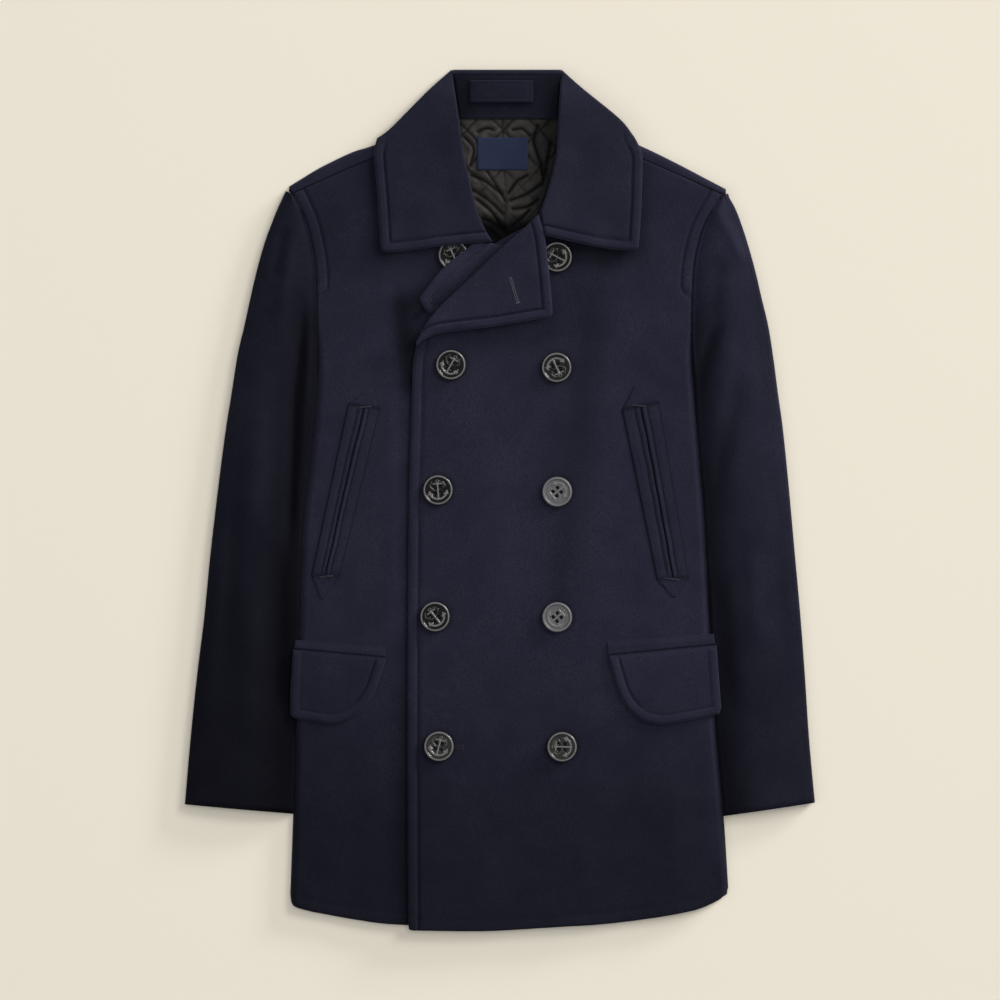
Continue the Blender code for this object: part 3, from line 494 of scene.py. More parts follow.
melton = melton_finish("navy_melton")
print("melton made, with", len(melton.node_tree.nodes), "nodes")

# %% [markdown]
# ## The outline of the body
# The sides of the coat are one table that the fronts, the back and both sleeves read, so they meet all
# the way down. Because the coat lies on its back, each front rounds over at the side and goes down to
# the table, except at the armhole, where it is sewn to the sleeve up on top. Each line could be drawn
# by hand, but a table is what a pattern cutter has, and one change moves every piece that meets there.

# %% Side, hem, lapping edge and shoulder seams
ARMPIT_Y = 132.0
UNDER_LEVEL, OVER_LEVEL, OVER_SIDE_LEVEL = 9.0, 12.4, 9.3
OVERLAP_X = 80.0
WALL = 3.0                  # one ply of melton
CROWN = 1.8                 # how much fuller the fronts are away from their sides
SIDE_END = 0.5              # how far above the table a side ends

# Height up the coat, then the x of its right and of its left side
SIDES = np.array((
    (-375.0, -199.5, 217.6), (-298.0, -196.7, 212.6), (-214.7, -193.8, 205.2), (-113.0, -191.0, 199.4),
    (-19.0, -187.2, 194.6), (29.5, -181.5, 190.7), (85.5, -175.8, 186.0), (133.0, -173.4, 182.8),
    (170.0, -173.9, 182.0), (215.7, -174.8, 183.8), (242.3, -178.6, 188.2), (264.1, -184.3, 195.6),
    (287.9, -194.8, 209.8), (297.4, -202.4, 217.6)))
RIGHT_SIDE_LINE = curved(SIDES[:, [1, 0]])
LEFT_SIDE_LINE = curved(SIDES[:, [2, 0]])
UNDER_HEM = joined(curved(((-199.5, -375.0), (-197.9, -383.5), (-192.5, -387.6), (-177.7, -391.6))),
                   curved(((-177.7, -391.6), (-135.9, -399.0), (-95.0, -403.6), (0.0, -405.5),
                           (OVERLAP_X, -401.0))))
OVER_HEM = joined(curved(((-87.0, -404.0), (-86.2, -407.6), (-82.0, -408.9))),
                  curved(((-82.0, -408.9), (-33.0, -409.6), (0.0, -409.0), (57.0, -405.5), (97.9, -403.0),
                          (139.7, -398.0), (180.5, -390.8), (200.0, -384.0), (211.5, -377.0),
                          (216.8, -368.6))))
OVER_EDGE = curved(((-87.0, -404.0), (-87.7, -330.0), (-87.7, -142.5), (-86.4, 0.0), (-84.6, 66.5),
                    (-82.7, 127.0), (-79.0, 150.0)))
ROLL_LINE = curved(((-79.0, 150.0), (-63.6, 176.0), (-28.5, 210.0), (-0.9, 236.6), (19.0, 253.6),
                    (38.0, 272.2)))
RIGHT_SEAM = np.array(((-197.6, 291.2), (-74.0, 346.0)))
LEFT_SEAM = np.array(((84.0, 346.0), (212.2, 290.6)))
UNDER_NECK = curved(((-74.0, 346.0), (-52.0, 326.0), (-42.0, 290.0), (-30.0, 260.0), (-12.0, 241.0),
                     (30.0, 205.0), (OVERLAP_X, 158.0)))
OVER_NECK = curved(((38.0, 272.2), (52.0, 299.0), (62.0, 330.0), (84.0, 346.0)))


def side_x(y, wearers_left):
    line = LEFT_SIDE_LINE if wearers_left else RIGHT_SIDE_LINE
    return np.interp(y, line[:, 1], line[:, 0])


def side_part(low_y, high_y, wearers_left):
    """The stretch of a side line between two heights up the coat."""
    ys = np.linspace(low_y, high_y, 60)
    return np.stack([side_x(ys, wearers_left), ys], axis=1)


def side_dip(inset, y, full):
    """How far a front rounds down at its side: all the way below the armpit, and little at the armhole."""
    at_armhole = 1.2
    drop = at_armhole + (full - at_armhole) * (1.0 - smooth(ARMPIT_Y - 10.0, ARMPIT_Y + 36.0, y))
    width = 7.5 - 4.0 * smooth(ARMPIT_Y, ARMPIT_Y + 40.0, y)
    t = np.clip(1.0 - inset / width, 0.0, 1.0)
    return drop * (1.0 - np.sqrt(1.0 - t * t))


print("body is %.0f mm wide at the hem" % (side_x(-370, True) - side_x(-370, False)))

# %% [markdown]
# ## The heights of the two fronts
# The right front lies underneath and the left one over it. Where the left front crosses the folded
# lapel below, it climbs over it. A tailor would see this as plies: each ply is three millimetres, and
# nothing may pass through anything else, so each height is worked out from the ply under it.

# %% Height of each front
LAPEL_LIFT = 4.4            # where the left front climbs over the right lapel
# The long folds of the body: line, width, height (minus is a trough)
BODY_FOLDS = (
    (((-168, 118), (-140, 128), (-112, 150)), 10.0, 0.9),
    (((176, 112), (150, 126), (124, 152)), 11.0, 0.9),
    (((-178, -20), (-175, -150), (-176, -300)), 16.0, 1.0),
    (((162, -215), (166, -340), (168, -470)), 22.0, 1.4),
    (((-148, -215), (-142, -340), (-146, -470)), 20.0, -1.2),
    (((16, -230), (14, -340), (20, -470)), 26.0, -0.8),
    (((102, -215), (104, -340), (98, -470)), 24.0, -1.0),
)


def slow_shape(x, y):
    """The broad rise and fall that both fronts share, so that they stay the same distance apart."""
    shape = 0.55 * swell(x, y, 170.0, 3)
    for line, width, height in BODY_FOLDS:
        shape += fold(x, y, line, width, height)
    return shape


def front_height(inset, x, y, level):
    """A level with its crown and its shape, rounded down at the side."""
    crown = CROWN * smooth(0.0, 75.0, inset)
    return level + crown + slow_shape(x, y) * smooth(0, 30, inset) - side_dip(inset, y, level - SIDE_END)


def under_front(x, y):
    return front_height(x - side_x(y, False), x, y, UNDER_LEVEL)


def past_roll_line(x, y):
    """How far a point lies from the line along which the left lapel turns back."""
    a, b = np.array((-63.6, 176.0)), np.array((-0.9, 236.6))
    length = np.linalg.norm(b - a)
    return ((x - a[0]) * (b[1] - a[1]) - (y - a[1]) * (b[0] - a[0])) / length


def over_front(x, y):
    level = OVER_LEVEL - (OVER_LEVEL - OVER_SIDE_LEVEL) * smooth(OVERLAP_X - 4, OVERLAP_X + 55, x)
    lift = LAPEL_LIFT * (1.0 - smooth(20.0, 46.0, past_roll_line(x, y))) * smooth(148.0, 172.0, y)
    lift = lift * (1.0 - smooth(12.0, 40.0, x))
    return front_height(side_x(y, True) - x, x, y, level) + lift


print("the left front stands %.1f mm high at its edge" % over_front(np.array(-80.0), np.array(0.0)))

# %% [markdown]
# ## Cutting the fronts
# Each front is one net, and its welts are pressed in: one along the lapping edge, one along the hem,
# and one beside the armhole, where the body side of that seam is stitched down. The wall is thinned
# right at a raw edge, so that from above the edge looks rounded by the iron, and not sawn off. A cloth
# simulation could drape the fronts, but a pressed coat has hardly any drape, and its stitched lines
# matter more.

# %% The two fronts
FRONT_PITCH, FINE = full_or_quick((3.0, 12.0))
# Depth of the stitched trench on each edge, and the welts along them
EDGE_DEPTH, HEM_DEPTH, ARMHOLE_DEPTH = 1.25, 0.5, 0.95
EDGE_WELT = dict(inset=10.0, depth=EDGE_DEPTH, width=1.1, lip=0.9)
HEM_WELT = dict(inset=11.0, depth=HEM_DEPTH, width=1.4, lip=0.1)
ARMHOLE_WELT = dict(inset=11.0, depth=ARMHOLE_DEPTH, lip=0.5)
# Painted shade along the hems' stitches
HEM_TONE = dict(inset=11.0, dark=0.12, half=1.5, lip=0.0)
RIM = 1.6                   # how far in from a rounded edge its wall is thinner


def rim_share(x, y, lines):
    """The wall's share of its thickness by point, thinner by a rounded edge, and the distance to one."""
    near = np.full(x.shape, 1e9)
    for line in lines:
        near = np.minimum(near, gap_to(x, y, line)[0])
    return 1.0 - 0.5 * (1.0 - smooth(0.0, RIM, near)), near


def armhole_line(wearers_left):
    return side_part(205.0, 290.0, wearers_left)


def front_piece(name, node, x, y, height, welts, shoulder, **cloth):
    """A front from its net. welts: each stitched edge, whether it is raw, its welt and its tone."""
    z = height(x, y)
    share, near = rim_share(x, y, [line for line, raw, _, _ in welts if raw])
    z = z - round_edge(near, 1.5)
    # Painted shade along each row of stitches and a painted highlight on its lip, noted as pressed
    tone = 1.0
    for line, _, pressed, shade in welts:
        z += welt(x, y, line, **pressed)
        tone = tone * painted_stitch_shade_and_light(gap_to(x, y, line)[0], **shade)
    z -= 0.5 * (1.0 - smooth(0.0, RIM, gap_to(x, y, shoulder)[0]))
    made = sheet_of(name, x, y, z, melton, wall=WALL, thin=share)
    note(made, "pressed", tone)
    return sew_in(made, [node], "melton", **cloth)


def make_under_front():
    side = side_part(-375.0, RIGHT_SEAM[0][1], False)
    top = joined(RIGHT_SEAM, UNDER_NECK)
    hidden_edge = np.array(((OVERLAP_X, -401.0), (OVERLAP_X, 158.0)))
    x, y = net(UNDER_HEM, top, side, hidden_edge, edged(280.0, FRONT_PITCH, rim=6.0, end=False, hold=FINE),
               edged(700.0, FRONT_PITCH, rim=2.5, end=False))
    welts = ((UNDER_HEM, True, HEM_WELT, HEM_TONE),
             (armhole_line(False), False, ARMHOLE_WELT, dict(inset=11.0, dark=0.3)))
    return front_piece("front_right_cloth", "front_right", x, y, under_front, welts, RIGHT_SEAM,
                       flat=(0.285, 0.75), area=0.184, rests_on=["back"])


def make_over_front():
    side = side_part(-368.6, LEFT_SEAM[1][1], True)
    top = joined(ROLL_LINE, OVER_NECK, LEFT_SEAM)
    x, y = net(OVER_HEM, top, OVER_EDGE, side, edged(300.0, FRONT_PITCH, rim=6.0, hold=FINE),
               edged(720.0, FRONT_PITCH, rim=2.5))
    welts = ((OVER_EDGE, True, EDGE_WELT, dict(inset=10.0)), (OVER_HEM, True, HEM_WELT, HEM_TONE),
             (armhole_line(True), False, ARMHOLE_WELT, dict(inset=11.0, dark=0.3)))
    return front_piece("front_left_cloth", "front_left", x, y, over_front, welts, LEFT_SEAM,
                       flat=(0.310, 0.76), area=0.197, rests_on=["front_right", "back"])


for front in (make_under_front(), make_over_front()):
    print(front.name, len(front.data.vertices), "points")

# %% [markdown]
# ## The back
# Only a strip of the back shows from above: it comes over the shoulder and meets the fronts a finger's
# breadth down the chest. The rest lies flat on the table. Columns of points run up the back, and only
# those under a shoulder carry on round the fold, so the neck between them stays open. A separate strip
# for each shoulder would be easier, but it would show a seam that a real back hasn't.

# %% The back, with its shoulder strips
RIGHT_SHOULDER = curved(((-200.5, 298.0), (-187.7, 306.0), (-169.5, 316.8), (-140.6, 330.6), (-118.7, 337.7),
                         (-79.0, 355.5)), 4)
LEFT_SHOULDER = curved(((88.0, 356.0), (130.1, 338.2), (150.0, 329.0), (170.0, 319.0), (195.5, 305.6),
                        (214.6, 295.6)), 4)
NECK_Y = 352.0
BACK_BEND_Y = 284.0         # from here up the columns of points run to the fold


def seam_y(x):
    (ax, ay), (bx, by) = RIGHT_SEAM if x < 0 else LEFT_SEAM
    return ay + (x - ax) / (bx - ax) * (by - ay) + 0.5


def make_back():
    neck = [(x, NECK_Y) for x in np.linspace(-62.0, 72.0, 14)]
    columns = [tuple(p) for p in RIGHT_SHOULDER] + neck + [tuple(p) for p in LEFT_SHOULDER]
    first, last = columns[0][0], columns[-1][0]
    shares = np.linspace(0.0, 1.0, 60)
    rows, arc = len(shares), 10
    points, index = [], {}

    def put(i, j, point):
        index[i, j] = len(points)
        points.append(point)

    for i, (x, fold_y) in enumerate(columns):
        over = i < len(RIGHT_SHOULDER) or i >= len(RIGHT_SHOULDER) + len(neck)
        radius = 0.0
        if over:
            sample = np.array(x + 9.0 if x < 0 else -150.0)
            radius = float(under_front(sample, np.array(290.0)) - 0.1) / 2.0
        low, high = side_x(-370.0, False) + WALL + 1.5, side_x(-370.0, True) - WALL - 1.5
        start = low + (x - first) / (last - first) * (high - low)
        hem_y = 2.5 + max(np.interp(start, OVER_HEM[:, 0], OVER_HEM[:, 1], left=-999.0),
                          np.interp(start, UNDER_HEM[:, 0], UNDER_HEM[:, 1], right=-999.0))
        for j, y in enumerate(list(hem_y + shares * (BACK_BEND_Y - hem_y)) + [fold_y - radius]):
            inset = 4.5 - 4.1 * float(smooth(150.0, 182.0, y))
            low, high = side_x(y, False) + inset, side_x(y, True) - inset
            place = low + (x - first) / (last - first) * (high - low)
            # Near the shoulder a column runs straight up to its own place on the fold, inside the sides
            fit = min(1.0, low / first if x < 0 else high / last)
            place += float(smooth(200.0, 280.0, y)) * (x * fit - place)
            put(i, j, (x if j == rows else place, y, 0.0))
        if over:
            base = fold_y - radius
            for k in range(1, arc + 1):
                angle = math.pi * k / arc
                put(i, rows + k, (x, base + radius * math.sin(angle), radius - radius * math.cos(angle)))
            seam_x = x + (3.6 if x < 0 else -3.6)
            for k, share in enumerate((0.4, 0.75, 0.92, 1.0)):
                put(i, rows + arc + 1 + k, (x + share * (seam_x - x), base + share * (seam_y(seam_x) - base),
                                            2.0 * radius - (0.5 if share == 1.0 else 0.0)))
    faces = []
    for (i, j) in index:
        corners = [(i, j), (i, j + 1), (i + 1, j + 1), (i + 1, j)]
        if all(corner in index for corner in corners):
            faces.append(tuple(index[corner] for corner in corners))
    made = new_object("back_cloth", points, faces, melton)
    thick = made.modifiers.new("wall", "SOLIDIFY")
    thick.thickness, thick.offset = WALL * MM, -1.0
    return sew_in(made, ["back"], "melton", flat=(0.42, 0.76), area=0.283, rests_on=["floor"])


make_back()

# %% [markdown]
# ## The sleeves
# A sleeve is a tube pressed nearly flat. Its ring is round at the outer edge and, below the armpit, at
# the inner edge too. Above the armpit the inner edge turns sharply, because there it is sewn into the
# armhole. The folds are laid on the upper face only: a sleeve turned down from the shoulder gathers under
# the arm and hangs in long soft troughs beside the body. They are placed one by one, each on its own line,
# because a simulated sleeve would gather somewhere else.

# %% Rings and folds of the sleeves
# Each row is one ring: x and y of its outer edge, y of its inner edge
RIGHT_SLEEVE = np.array((
    (-299.6, -289.2, -298.2), (-294.6, -230.9, -236.0), (-288.2, -168.0, -171.0), (-281.2, -111.0, -112.0),
    (-275.2, -50.0, -52.0), (-267.3, 17.0, 12.0), (-260.3, 70.0, 60.0), (-254.8, 104.0, 92.0),
    (-249.4, 138.7, 124.0), (-243.2, 165.0, 148.0), (-237.8, 190.0, 170.0), (-232.0, 215.2, 193.0),
    (-224.5, 242.3, 219.0), (-217.4, 262.0, 242.0), (-211.2, 277.5, 261.0), (-205.8, 289.0, 275.0),
    (-203.6, 293.8, 288.0)))
LEFT_SLEEVE = np.array((
    (299.4, -287.6, -300.4), (294.0, -228.0, -236.0), (289.8, -165.0, -171.0), (285.4, -107.0, -112.0),
    (280.0, -47.0, -52.0), (274.2, 17.0, 12.0), (268.9, 68.4, 60.0), (264.4, 101.0, 92.0),
    (259.8, 136.0, 124.0), (255.0, 166.0, 148.0), (248.8, 192.0, 170.0), (243.0, 217.0, 193.0),
    (236.0, 242.3, 219.0), (228.6, 265.0, 242.0), (223.6, 277.5, 261.0), (218.4, 287.0, 275.0),
    (217.0, 291.4, 285.6)))
SLEEVE_EDGE_HEIGHT, SLEEVE_PUFF, SEWN_RADIUS = 9.6, 4.6, 1.6
LEAST_DIP = -2.2            # no fold goes deeper than this below the edge's height
FOLD_SHARE = 0.95
# Each fold: its line, width, height (minus is a trough)
RIGHT_SLEEVE_FOLDS = (
    (((-203, 262), (-209, 235), (-213, 205)), 6.5, -2.2),
    (((-196, 250), (-204, 205), (-208, 140)), 8.0, 1.8),
    (((-186, 205), (-189, 143), (-194, 97), (-196, 39), (-200, -70)), 6.0, -5.0),
    (((-181, 165), (-181, 120), (-182, 78)), 4.0, 2.0),
    (((-205, -30), (-209, -110), (-208, -215)), 13.0, -3.2),
    (((-226, 150), (-230, 60), (-236, -40)), 14.0, 2.2),
    (((-245, 60), (-256, -60), (-262, -170)), 11.0, -1.4),
    (((-232, -60), (-236, -150), (-240, -250)), 13.0, 1.6),
    (((-264, -10), (-272, -120), (-280, -220)), 8.0, 1.3),
)
LEFT_SLEEVE_FOLDS = (
    (((203, 283), (216, 258), (236, 225)), 7.0, 2.4),
    (((209, 235), (205, 190), (201, 165)), 8.0, -1.6),
    (((212, 178), (205, 160), (190, 116), (188, 66)), 6.5, -4.4),
    (((231, 125), (226, 106), (214, 50), (197, -10)), 9.0, -2.4),
    (((222, 165), (212, 110), (200, 60)), 10.0, 1.3),
    (((201, -60), (209, -125), (215, -210)), 11.0, -3.4),
    (((238, -40), (242, -90), (247, -150)), 9.0, 1.2),
    (((226, -10), (231, -80), (234, -160)), 9.0, -0.8),
    (((262, 40), (268, -60), (272, -170)), 10.0, -1.2),
    (((240, 230), (250, 150), (256, 70)), 9.0, -1.3),
)


print("folds:", len(RIGHT_SLEEVE_FOLDS), "on the right sleeve and", len(LEFT_SLEEVE_FOLDS), "on the left")

# %% Both sleeves
def make_sleeve(name, node, rows, folds, wearers_left, seed):
    inward = -0.4 if wearers_left else 0.4
    half = SLEEVE_EDGE_HEIGHT / 2.0
    turns = np.radians(np.arange(12.0, 180.0, 12.0))
    flat = np.linspace(0.0, 1.0, full_or_quick(40))
    level, bend = 0.0 * flat, 0.0 * turns
    rings = []
    for outer_x, outer_y, inner_y in curved(rows, full_or_quick(10)):
        sewn = float(smooth(ARMPIT_Y - 30.0, ARMPIT_Y + 30.0, inner_y))
        inner_x = side_x(inner_y, wearers_left) + inward
        length = math.hypot(outer_x - inner_x, outer_y - inner_y)
        end = half + (SEWN_RADIUS - half) * sewn
        across = half + (length - half - end) * flat
        puff = np.sin(np.pi * np.clip((across - half) / max(length - 2 * half, 1.0), 0, 1)) ** 0.7
        # Round the ring: under face, outer edge, upper face, inner edge
        t = np.concatenate([across[::-1], half - half * np.sin(turns), across,
                            length - end + end * np.sin(turns)]) / length
        base = np.concatenate([level, half - half * np.cos(turns), level + 2 * half,
                               half + half * np.cos(turns)])
        upper = np.concatenate([level, bend, level + 1.0, bend])
        full = np.concatenate([level, bend, puff, bend])
        rings.append(np.stack([outer_x + t * (inner_x - outer_x), outer_y + t * (inner_y - outer_y), base,
                               upper, full], axis=1))
    ring = np.array(rings)
    x, y, z, upper, full = (ring[..., k] for k in range(5))
    shape = SLEEVE_PUFF * full * (0.55 + 0.45 * smooth(285.0, 190.0, y))
    shape = shape + 0.8 * swell(x, y, 90.0, seed) * full
    for line, width, height in folds:
        shape = shape + FOLD_SHARE * fold(x, y, line, width, height) * np.minimum(1.0, full * 1.4 + 0.12)
    z = z + np.maximum(shape * upper, LEAST_DIP)
    if wearers_left:
        x, y, z = x[:, ::-1], y[:, ::-1], z[:, ::-1]
    made = sheet_of(name, x, y, z, melton, wall=WALL, ring=True)
    return sew_in(made, [node], "melton", flat=(0.205, 0.60), area=0.093, rests_on=["floor"])


for name, rows, folds, wearers_left, seed in (("sleeve_right", RIGHT_SLEEVE, RIGHT_SLEEVE_FOLDS, False, 11),
                                              ("sleeve_left", LEFT_SLEEVE, LEFT_SLEEVE_FOLDS, True, 12)):
    made = make_sleeve(name + "_cloth", name, rows, folds, wearers_left, seed)
    print(made.name, len(made.data.vertices), "points")

# %% [markdown]
# ## The collar
# The collar is two layers of melton turned right side out and edge-stitched a centimetre in, so each
# wing is as thick as two cloths and its edges are full and round. Behind the neck it stands and folds
# back under itself. Three slabs make it: a wing each side, and the folded band between them. A block
# with a bevel would have the same outline, but no full lip beside the stitching.

# %% Outline of the collar
RIGHT_WING = dict(
    bottom=curved(((-108.0, 235.0), (-92.0, 236.0), (-57.0, 240.6), (-30.0, 243.6), (-7.0, 245.5))),
    outer=curved(((-108.0, 235.0), (-111.8, 237.0), (-113.4, 242.0), (-115.9, 282.0), (-119.4, 322.0),
                  (-119.2, 333.0), (-116.8, 343.4))),
    top=curved(((-116.8, 343.4), (-104.5, 352.4), (-84.6, 372.4), (-66.0, 391.0), (-46.0, 409.0))),
    roll=curved(((-7.0, 245.5), (-11.9, 252.7), (-22.4, 276.0), (-29.0, 306.0), (-34.0, 327.0),
                 (-38.9, 362.0), (-46.0, 409.0))))
LEFT_WING = dict(
    bottom=curved(((126.0, 237.0), (114.0, 237.2), (92.0, 240.0), (68.4, 245.0), (43.2, 250.8))),
    outer=curved(((126.0, 237.0), (130.2, 238.4), (131.8, 243.0), (134.3, 282.0), (135.3, 322.0),
                  (133.5, 333.0), (127.5, 344.6))),
    top=curved(((127.5, 344.6), (114.0, 361.5), (80.0, 389.5), (58.4, 409.0))),
    roll=curved(((43.2, 250.8), (38.6, 270.0), (40.0, 278.0), (46.4, 299.0), (53.0, 327.0), (55.2, 362.0),
                 (58.4, 409.0))))
print("wings are", [round(float(np.ptp(wing["outer"][:, 1]))) for wing in (RIGHT_WING, LEFT_WING)], "mm long")

# %% Heights of the collar
COLLAR_TOP_Y = 409.0
COLLAR_THICK = 4.9
COLLAR_DEPTH = 1.3          # of the stitched trench on collar and lapels
WING_WELT = dict(inset=9.4, depth=COLLAR_DEPTH, width=1.15, lip=0.75)
LAPEL_WELT = dict(inset=9.2, depth=COLLAR_DEPTH, width=1.15, lip=0.75)
BAND_HEIGHT = 11.5          # of the roll behind the neck
ROLL_RISE, ROLL_WIDTH = 2.6, 26.0       # of the roll where a wing turns up to the neck
PAST_SHOULDER_LEVEL = 10.0
UNDER_WING_GAP, OVER_WING_GAP = 1.2, 2.6        # between a front and the wing over it


def past_shoulder(x, y):
    """How far a point lies above the fold of its shoulder."""
    right, left = (np.interp(x, line[:, 0], line[:, 1]) for line in (RIGHT_SHOULDER, LEFT_SHOULDER))
    return y - np.where(x < 0, right, left)


def under_wing_seat(x, y):
    """Where the right wing lies: on the right front, and on the right lapel at its inner corner."""
    over_lapel = 3.4 * smooth(300.0, 252.0, y) * smooth(-95.0, -60.0, x)
    return UNDER_LEVEL + UNDER_WING_GAP + CROWN + over_lapel


def over_wing_seat(x, y):
    """Where the left wing lies: on the left front, on its lapel, and lower beyond the shoulder."""
    seat = OVER_LEVEL + OVER_WING_GAP + 3.6 * smooth(300.0, 250.0, y) * smooth(105.0, 75.0, x)
    return seat - 2.0 * smooth(90.0, 130.0, x) * smooth(250.0, 290.0, y)


def wing_low(x, y, seat):
    return seat + (0.1 - seat) * smooth(14.0, 22.0, past_shoulder(x, y))


def wing_top(x, y, seat, roll):
    """The upper face comes down past the shoulder more slowly than the lower one."""
    body = seat - (seat - PAST_SHOULDER_LEVEL) * smooth(8.0, 62.0, past_shoulder(x, y))
    near_roll, _ = gap_to(x, y, roll)
    rise = ROLL_RISE * np.exp(-(near_roll / ROLL_WIDTH) ** 2) + 0.35 * swell(x, y, 70.0, 21)
    full = body + COLLAR_THICK + rise
    return full - smooth(26.0, 2.0, COLLAR_TOP_Y - y) * (full - BAND_HEIGHT)


print("the right wing lies %.1f mm over the table" % under_wing_seat(np.array(-80.0), np.array(280.0)))

# %% Wings
def make_wing(name, wing, seat_of, mirrored, folds):
    length, width = full_or_quick((56, 72))
    near_edge = full_or_quick(0.55)
    across = edged(110.0, 110.0 / length * 1.15, rim=5.0, near=near_edge, hold=FINE)
    up = edged(180.0, 180.0 / width * 1.15, rim=5.0, near=near_edge, hold=FINE)
    bottom, top, near, far = (wing[side] for side in ("bottom", "top", "outer", "roll"))
    if mirrored:
        bottom, top, near, far = bottom[::-1], top[::-1], far, near
    x, y = net(bottom, top, near, far, across, up)
    seat = seat_of(x, y)
    low, top_z = wing_low(x, y, seat), wing_top(x, y, seat, wing["roll"])
    edge = joined(wing["outer"][::-1], wing["bottom"])
    live = smooth(2.0, 16.0, gap_to(x, y, wing["top"])[0])
    top_z += live * welt(x, y, edge, **WING_WELT)
    for line, wide, height in folds:
        top_z += fold(x, y, line, wide, height)
    rims = [wing[side] for side in ("outer", "bottom", "top", "roll")]
    made = rounded_slab(name, x, y, top_z, low, melton, rims, 2.4)
    # Painted shade along the stitches and a painted highlight on the lip, noted as pressed
    tone = painted_stitch_shade_and_light(gap_to(x, y, edge)[0], WING_WELT["inset"], dark=0.42 * live, lip=0.08 * live)
    return note(made, "pressed", tone)


# Soft folds on each wing: line, width, height
RIGHT_WING_FOLDS = ((((-46, 262), (-52, 300), (-60, 350)), 15.0, -0.7),
                    (((-78, 272), (-92, 300), (-98, 330)), 16.0, 0.6))
LEFT_WING_FOLDS = ((((62, 262), (72, 300), (78, 350)), 16.0, -0.7),
                   (((92, 270), (106, 300), (110, 335)), 15.0, 0.6))
print("folds on the wings:", len(RIGHT_WING_FOLDS) + len(LEFT_WING_FOLDS))

# %% The band behind the neck, and the whole collar
# The band: y, height of its upper face, x of its two ends
BAND = np.array((
    (363.4, 3.2, -62.0, 74.0), (372.0, 3.2, -62.0, 74.0), (385.0, 3.2, -62.0, 74.0),
    (396.0, 3.2, -56.0, 68.0), (402.4, 3.3, -50.6, 63.0), (403.4, 8.6, -49.6, 62.2),
    (404.2, 10.6, -48.8, 61.4), (406.0, 11.2, -47.2, 59.8), (407.6, 10.6, -45.9, 58.6),
    (408.6, 9.0, -44.8, 57.6), (COLLAR_TOP_Y, 7.0, -44.4, 57.2)))


def make_band():
    y, height, left, right = (BAND[:, k][:, None] for k in range(4))
    x = left + (right - left) * np.linspace(0.0, 1.0, 40)[None, :]
    level = 0 * x
    low = 0.02 + round_edge(COLLAR_TOP_Y - y - level, 3.0)
    made = slab_of("collar_band", x, y + level, height + level, low, melton)
    return note(made, "pressed", 1.0 + level)


def merge(name, pieces):
    """Joins parts of one sewn piece into one mesh."""
    with bpy.context.temp_override(active_object=pieces[0], selected_editable_objects=pieces):
        bpy.ops.object.join()
    pieces[0].name = name
    return pieces[0]


collar = merge("collar_cloth", [
    make_wing("wing_right", RIGHT_WING, under_wing_seat, False, RIGHT_WING_FOLDS),
    make_wing("wing_left", LEFT_WING, over_wing_seat, True, LEFT_WING_FOLDS), make_band()])
sew_in(collar, ["collar"], "melton", flat=(0.255, 0.175), area=0.0342,
       rests_on=["front_left_cloth", "front_right_cloth"])
print("collar:", len(collar.data.vertices), "points")

# %% [markdown]
# ## Stand and hanger loop
# The stand is the inside of the collar behind the neck, and above the lining it lies in shadow. A strip
# of melton, sewn down at both ends, makes the hanger; it arches a little so that a hook can pass. Two
# boxes would do from far off, but small nets between four corners can round off and arch.

# %% Collar stand and hanger loop
def stand_top(x, y):
    return 7.4 + 3.2 * smooth(366.0, 402.0, y) + 0.2 * swell(x, y, 60.0, 31)


STAND_Y = 362.6             # its lower edge, over the lining
STAND_CORNERS = ((-38.1, STAND_Y), (54.5, STAND_Y), (57.1, 403.3), (-43.9, 403.3))
LOOP_CORNERS = ((-28.5, 377.6), (31.6, 377.6), (31.6, 398.6), (-28.5, 398.6))


def make_stand():
    x, y = quad_net(STAND_CORNERS, even(98.0, 2.4), edged(41.0, 2.4, rim=4.0))
    z = stand_top(x, y) - 0.5 * np.exp(-((y - STAND_Y - 3.6) / 0.9) ** 2) - round_edge(y - STAND_Y, 1.2)
    made = sheet_of("collar_stand_cloth", x, y, z, melton, wall=2.6)
    return sew_in(made, ["collar_stand"], "melton", flat=(0.103, 0.043), area=0.0042,
                  rests_on=["collar_cloth"])


def make_loop():
    x, y = quad_net(LOOP_CORNERS, edged(60.0, 1.6, rim=4.0, near=0.5), edged(21.0, 1.4, rim=3.0, near=0.4))
    arch = 1.0 - (np.abs(x - 1.55) / 30.1) ** 4
    edge = around(LOOP_CORNERS)
    top = stand_top(x, y) + 2.2 + 2.4 * arch + welt(x, y, edge, inset=3.0, depth=0.35, width=0.9, lip=0.15)
    low = stand_top(x, y) + 0.4 + 1.8 * arch
    made = rounded_slab("hanger_loop_cloth", x, y, top, low, melton, (edge,), 1.1)
    return sew_in(made, ["hanger_loop"], "melton", flat=(0.060, 0.021), area=0.00126,
                  rests_on=["collar_stand_cloth"])


make_stand()
make_loop()
print("hanger loop is %.1f mm long" % (LOOP_CORNERS[1][0] - LOOP_CORNERS[0][0]))

# %% [markdown]
# ## The lapels
# The left front turns back along its roll line and lies over the right one, so its lapel floats on two
# or three layers. The right lapel is nearly covered and climbs over the top button. Both are two plies
# with a full, rounded, edge-stitched rim. They could be folded from the fronts in one mesh, but apart
# each can have its own height, thickness and stitching.

